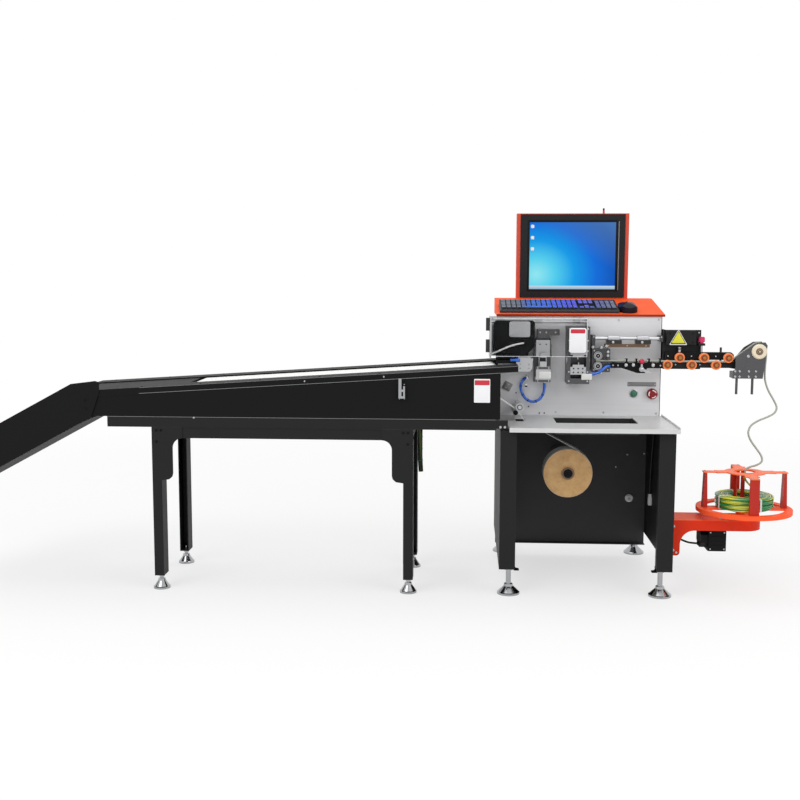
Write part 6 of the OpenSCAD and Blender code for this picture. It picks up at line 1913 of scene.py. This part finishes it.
@dataclass
class Straightener:
    """Six grooved rollers on two bars, their back plate and the pressure screw."""

    lower: Sequence[float] = (609, 696, 783)
    upper: Sequence[float] = (652.5, 739.5, 826.5)
    low_z: float = 797.0
    up_z: float = 823.0
    ring_y: float = 254.5
    axle_y: float = 251.2
    pin_x: float = 655.0
    pin_y: float = 283.0
    spring: Flat = (849.6, 858.5)
    spring_turns: int = 6
    back_screws: Screws = Screws(2.8, ((618, 274, 910), (700, 274, 910), (618, 274, 878), (700, 274, 878)))
    fixed_screws: Sequence[Screws] = (
        Screws(3, ((726, 296, 912), (726, 296, 880), (612, 296, 787))),
        Screws(2.6, ((640, 269.8, 797), (727, 269.8, 797))),
    )
    moving_screws: Screws = Screws(2.6, ((612, 269.8, 828), (696, 269.8, 828), (783, 269.8, 828)))
    triangle: Point = (648, 274, 896.5)
    triangle_layers: Flats = ((1, 0.5), (0.86, 0.75), (0.74, 1))
    screw_top: Point = (734, 283, 896.3)

    def hubs(self) -> None:
        """Bearing ring of each roller, which turns with it, and the axle's screw, which doesn't."""
        places = [(x, self.low_z, "machine") for x in self.lower]
        places += [(x, self.up_z, "upper_bar") for x in self.upper]
        for number, (x, z, body) in enumerate(places, 1):
            ring = turned([(7.2, -0.2), (7.4, 0.5), (9.6, 0.8), (12.4, 0.5), (12.8, -0.2)], 32)
            bearing = Skin().add(ring, front(x, self.ring_y, z), looped=True)
            bearing.piece(f"roller_ring_{number}", AMBER, body=f"roller_{number}")
            head = turned([(6.9, -0.2), (6.9, 0.9), (6, 1.7), (3.2, 1.7), (3, 0.5)], 6)
            axle = Skin().add(head, front(x, self.axle_y, z))
            axle.piece(f"axle_screw_{number}", BRASS, body=body)

    def springs(self) -> None:
        """Spring and washer on the guide pin.

        The spring is a helix: p + r (cos a, sin a), with the height growing evenly with the angle a.
        """
        a = np.linspace(0.0, self.spring_turns * 2 * np.pi, self.spring_turns * 16 + 1)
        height = np.linspace(*self.spring, len(a))
        path = np.stack([self.pin_x + 6.0 * np.cos(a), self.pin_y + 6.0 * np.sin(a), height], -1)
        coils = Skin().add(tube(path, 0.55, 6))
        washer = turned([(4.1, 0), (7.4, 0), (7.4, 1.2), (4.1, 1.2)], 20)
        coils.add(washer, on(Facing.TOP, self.pin_x, self.pin_y, 858.2), looped=True)
        coils.piece("pin_springs", ZINC)

    def plates(self) -> None:
        """Screws of the back plate, the shelf and the bars, and the blank triangle."""
        screw_piece("back_plate_screws", MATT_BLACK, self.back_screws)
        screw_piece("straightener_screws", ZINC, *self.fixed_screws)
        screw_piece("upper_bar_screws", ZINC, self.moving_screws, body="upper_bar")
        sign = Skin()
        corners = [(-33, -28.2), (33, -28.2), (0, 28.2)]
        for slot, (share, height) in enumerate(self.triangle_layers):
            outline = softened([(x * share, z * share - 2.2 * (1 - share)) for x, z in corners], 5.0 * share)
            sign.add(plate(outline, height - 0.6, height, 0.15), front(*self.triangle), slot)
        sign.piece("blank_triangle", SIGN_PALE, MATT_BLACK, SIGN_YELLOW)

    def build(self) -> None:
        """Build the straightener."""
        dress(BARS, "straightener_frame")
        dress(PANEL_BLACK, "straightener_upper_bar")
        dress(ROLLER, *[f"straightener_roller_{i}" for i in range(1, 7)])
        dress(SCREW, "straightener_screw")
        self.hubs()
        self.springs()
        self.plates()
        cap = turned([(8.4, -0.1), (8.4, 0.9), (7.4, 1.6), (3, 1.9)], 28)
        Skin().add(cap, on(Facing.TOP, *self.screw_top)).piece("screw_cap", PINK_PLASTIC, body="screw")


@dataclass
class PulleyStation:
    """Guide pulley with its bracket."""

    x: float = 930.0
    z: float = 848.0
    front: float = 244.0
    hub_y: float = 243.7
    screw_x: Sequence[float] = (848, 864, 896.6, 921.5)
    screw_z: Flat = (776.4, 757.3)

    def build(self) -> None:
        """Dress the pulley and add the bracket's screws and the cap's turned details."""
        dress(DARK_STEEL, "pulley_bracket")
        dress(CREAM, "guide_pulley")
        small = Screws(4.2, [(x, self.front, z) for z in self.screw_z for x in self.screw_x])
        screw_piece("bracket_screws", ZINC, small, Screws(5.6, ((892.6, self.front, 830.6),)))
        hub = [
            (11.9, 5), (11.9, 6.6), (10.8, 7.6), (7.5, 7.6), (7.3, 11.4), (6.4, 12), (3.2, 12),
            (3, 10.4),
        ]
        lip = [(24.8, 4.4), (26.4, 4.2), (27.2, 3.6), (27.3, 1.4), (26.2, 0.8), (24.8, 0.9)]
        place = front(self.x, self.hub_y, self.z)
        Skin().add(turned(hub, 40), place).piece("pulley_hub", BROWN, body="pulley")
        Skin().add(turned(lip, 56), place, looped=True).piece("pulley_lip", CREAM, body="pulley")


@dataclass
class Reel:
    """Arm, motor, turntable, cage and the wound coil of wire."""

    x: float = 866.0
    y: float = 125.0
    table_z: float = 304.3
    spider_z: float = 432.0
    inner: float = 50.0
    outer: float = 101.0
    height: float = 46.0
    wire_r: float = 3.5
    turns: int = 7
    layers: int = 6
    steps: int = 40
    lead: Points = (
        (48, -14, 40), (46, 0, 48), (40, 14, 59), (27, 22, 73), (12, 20, 88), (3, 11, 102), (1, 3, 114),
        (0, 0, 122), (0, 0, 125.1),
    )
    arm_bolts: Sequence[Screws] = (
        Screws(4.6, ((719.4, 165, 268), (712.7, 85, 268), (778, 165, 268), (778, 85, 268)), Facing.TOP),
        Screws(4.2, ((612, 60, 246), (612, 60, 160), (622, 60, 152))),
        Screws(
            4.6, ((603, 52, 155), (603, 198, 155), (603, 52, 250), (603, 198, 250)), Facing.RIGHT, 2.8, 6
        ),
    )
    motor_screws: Screws = Screws(2.8, ((744, 82, 220), (792, 82, 220), (744, 82, 161), (792, 82, 161)))
    gland: Point = (712, 128, 170)

    def winding(self) -> np.ndarray:
        """Path of the wire on the reel.

        Each layer is a spiral whose radius changes by one pitch a turn, and a last turn at one radius leads
        into the layer above, which runs back.

        Returns:
            Points of the path about the reel's axis, on the turntable.
        """
        radii = np.linspace(self.outer - self.wire_r, self.inner + self.wire_r, self.turns)
        heights = np.linspace(self.wire_r, self.height - self.wire_r, self.layers)
        t = np.linspace(0.0, self.turns - 1, (self.turns - 1) * self.steps + 1)
        climb = np.linspace(0.0, 1.0, self.steps, endpoint=False)
        points = []
        angle = 0.0
        for layer, height in enumerate(heights):
            way = radii if layer % 2 == 0 else radii[::-1]
            r = np.concatenate([np.interp(t, np.arange(self.turns), way), np.full(self.steps, way[-1])])
            a = angle + 2 * np.pi * np.arange(len(r)) / self.steps
            step = heights[1] - heights[0] if layer < self.layers - 1 else 0.0
            z = np.concatenate([np.full(len(t), height), height + step * climb])
            points.append(np.stack([r * np.cos(a), r * np.sin(a), z], -1))
            angle = a[-1] + 2 * np.pi / self.steps
        return np.concatenate(points)

    def coil(self) -> None:
        """Wind the coil, lead its end up to the spider and tie it in four places."""
        centre = np.array([self.x, self.y, self.table_z])
        wound = self.winding()
        rise = smooth(self.lead, 4)
        skin = Skin()
        skin.add(tube(wound + centre, self.wire_r - 0.05, 8), along=lengths(wound) / MM)
        skin.add(tube(rise + centre, self.wire_r, 14), along=lengths(rise) / MM)
        coil = skin.piece("wound_coil", COIL_WIRE, body="reel", crease=SOFT_CREASE)
        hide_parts("wire_coil")
        ties = Skin()
        mid = (self.inner + self.outer) / 2
        near, far, top = self.inner - mid - 0.7, self.outer - mid + 0.7, self.height + 0.5
        loop = softened([(near, -0.2), (far, -0.2), (far, top), (near, top)], 5)
        ring = slab(loop, [(0, -3.4), (0, 3.4), (0.9, 3.4), (0.9, -3.4)])
        for a in np.radians([20.0, 110.0, 200.0, 290.0]):
            out, side = (math.cos(a), math.sin(a), 0), (-math.sin(a), math.cos(a), 0)
            at = (self.x + mid * out[0], self.y + mid * out[1], self.table_z)
            ties.add(ring, Plane(at, (out, (0, 0, 1), side)), looped=True)
        ties.piece("coil_ties", WHITE_LEAD, body="reel")

    def cage_screws(self) -> None:
        """Two screws in each foot of the spider, one plug beside it, and the lip of the spider's hole."""
        feet = Skin()
        head, plug = turned(screw_profile(3, 1.8), 12), turned([(2.9, -2), (2.9, 0.4), (2, 0.9)], 14)
        for a in np.arange(4) * np.pi / 2:
            c, s = math.cos(a), math.sin(a)
            for side in (-10, 10):
                px, py = 138 * c - side * s, 138 * s + side * c
                feet.add(head, on(Facing.TOP, self.x + px, self.y + py, self.spider_z))
            hx, hy = 54 * c - 14 * s, 54 * s + 14 * c
            feet.add(plug, on(Facing.TOP, self.x + hx, self.y + hy, self.spider_z - 0.4))
        feet.piece("cage_screws", ZINC, body="reel")
        lip = turned([(33.1, -0.3), (33.4, 0.8), (35.2, 1.2), (37, 0.8), (37.4, -0.3)], 48)
        place = on(Facing.TOP, self.x, self.y, self.spider_z)
        Skin().add(lip, place, looped=True).piece("spider_lip", ORANGE, body="reel")

    def build(self) -> None:
        """Dress the reel and add bolts, rims and the motor's screws."""
        dress(ORANGE, "reel_arm", "turntable")
        dress(CAGE, "reel_cage")
        dress(MATT_BLACK, "reel_motor")
        self.coil()
        screw_piece("arm_bolts", ZINC, *self.arm_bolts)
        self.cage_screws()
        motor = Skin()
        self.motor_screws.add_to(motor)
        motor.add(turned([(7, -0.4), (7, 3), (5.6, 4.6), (4, 5)], 20), on(Facing.LEFT, *self.gland), 1)
        motor.piece("motor_screws", ZINC, BLACK_LEAD)


@dataclass
class Conveyor:
    """Bench, trough with its rails, belt, chute and latch."""

    slope: float = math.tan(math.radians(3.65))
    belt_z: float = 803.0
    rail: Flat = (-1263, 56)
    rail_y: float = -2.2
    rail_screw_x: Flat = (-679.3, -403.7)
    top_screw_y: Flat = (20, 392)
    top_screw_step: float = 210.0
    seam_x: float = -420.0
    seam_y: float = 205.0
    leg_bolts: Flats = (
        (-1206, 575), (-1190, 575), (-336, 575), (-320, 575), (-1206, 535), (-320, 535),
    )
    dot: Point = (-1071.5, 0, 621.6)
    leg_fold_highlight: tuple[Point, Point] = ((-336, 3, 440), (-336, 3, 110))
    bench_edge_highlight: tuple[Point, Point] = ((-1378, -0.1, 623.2), (-17, -0.1, 623.2))
    sticker: Point = (-65, 0, 724)
    sticker_band: Point = (-65, 0, 752)
    chute_screws: Screws = Screws(4.2, ((-1456, -5, 680), (-1456, -5, 650)))
    latch_screws: Screws = Screws(1.8, ((-349, -3, 744), (-333, -3, 744), (-349, -3, 694), (-333, -3, 694)))

    def height(self, x: float) -> float:
        """Height of the belt's top at a place along the conveyor."""
        return self.belt_z + x * self.slope

    def along(self, above: float) -> tuple[Point, Point]:
        """Ends of the front rail's line at a height above the belt."""
        return tuple((x, self.rail_y, self.height(x) + above) for x in self.rail)

    def rails(self) -> None:
        """Painted highlights along the front rail's folded edges, the rails' screws, and the belt's seam."""
        # Grey bars along the rail's lower and upper folds: painted highlights.
        lip = Skin().add(bar(*self.along(-17), 1.4, 1.6)).add(bar(*self.along(3), 1, 1.2))
        lip.piece("rail_lip_highlight", PAINTED_HIGHLIGHT_GREY)
        front = [(x, -2, self.height(x) - 7) for x in self.rail_screw_x]
        screw_piece("rail_screws", ZINC, Screws(3, front))
        slant = math.atan(self.slope)
        tilt = ((math.cos(slant), 0, math.sin(slant)), (0, 1, 0), (-math.sin(slant), 0, math.cos(slant)))
        tops = Skin()
        for x in np.arange(-1470.0, 0.0, self.top_screw_step):
            for y in self.top_screw_y:
                tops.add(turned(screw_profile(3.6, 1.6), 12), Plane((x, y, self.height(x) + 4), tilt))
        tops.piece("rail_top_screws", MATT_BLACK)
        place = Plane((self.seam_x, self.seam_y, self.height(self.seam_x)), tilt)
        seam = Skin().add(plate(rounded(9, 189, 0.6), -0.1, 0.35, 0.15), place)
        seam.piece("belt_seam", BELT)

    def bench(self) -> None:
        """Bolts of the bench's frame and legs, the stud in its front, and painted highlights on the leg's
        fold and the bench's top edge.
        """
        places = [(x, 0, z) for x, z in self.leg_bolts]
        screw_piece("leg_bolts", MATT_BLACK, Screws(4.4, places))
        dot = turned([(3.2, -0.1), (3.2, 0.35), (1.8, 0.5)], 14)
        Skin().add(dot, front(*self.dot)).piece("bench_dots", ZINC)
        # A grey bar down the leg's fold: a painted highlight.
        fold = Skin().add(bar(*self.leg_fold_highlight, 0.9, 1, (0, 1, 0), 0.3))
        fold.piece("leg_fold_highlight", PAINTED_FOLD_HIGHLIGHT)
        Skin().add(bar(*self.bench_edge_highlight, 0.9, 1.4)).piece("bench_edge_highlight", PAINTED_HIGHLIGHT_GREY)

    def labels(self) -> None:
        """Blank place of the sticker, with its plain band."""
        sticker = Skin().add(plate(rounded(55, 82, 2), -0.1, 0.35, 0.15), front(*self.sticker))
        sticker.add(plate(rounded(51, 17, 1.5), 0.3, 0.6, 0.1), front(*self.sticker_band), 1)
        sticker.piece("blank_sticker", SIGN_WHITE, SIGN_RED)

    def build(self) -> None:
        """Build the conveyor, with the screws of its chute and its latch."""
        dress(BLACK_SHEET, "bench_top", "bench_legs")
        dress(PANEL_BLACK, "conveyor_trough")
        dress(BELT, "conveyor_belt")
        dress(STEEL, "drive_drum")
        dress(MATT_BLACK, "outlet_chute")
        dress(CHROME, "latch_lever")
        self.rails()
        self.bench()
        self.labels()
        screw_piece("chute_screws", MATT_BLACK, self.chute_screws)
        screw_piece("latch_screws", ZINC, self.latch_screws)


def main() -> None:
    """Set up the studio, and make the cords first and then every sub-assembly."""
    logging.basicConfig(level=logging.INFO, format="%(name)s: %(message)s")
    Studio().build()
    for part in (
        Cords(), Cabinet(), TapeDrive(), Head(), Workstation(), Cover(), Outlet(), Cutter(), Inlet(),
        Straightener(), PulleyStation(), Reel(), Conveyor(),
    ):
        part.build()
        log.info("%s built", type(part).__name__)


if __name__ == "__main__":
    main()
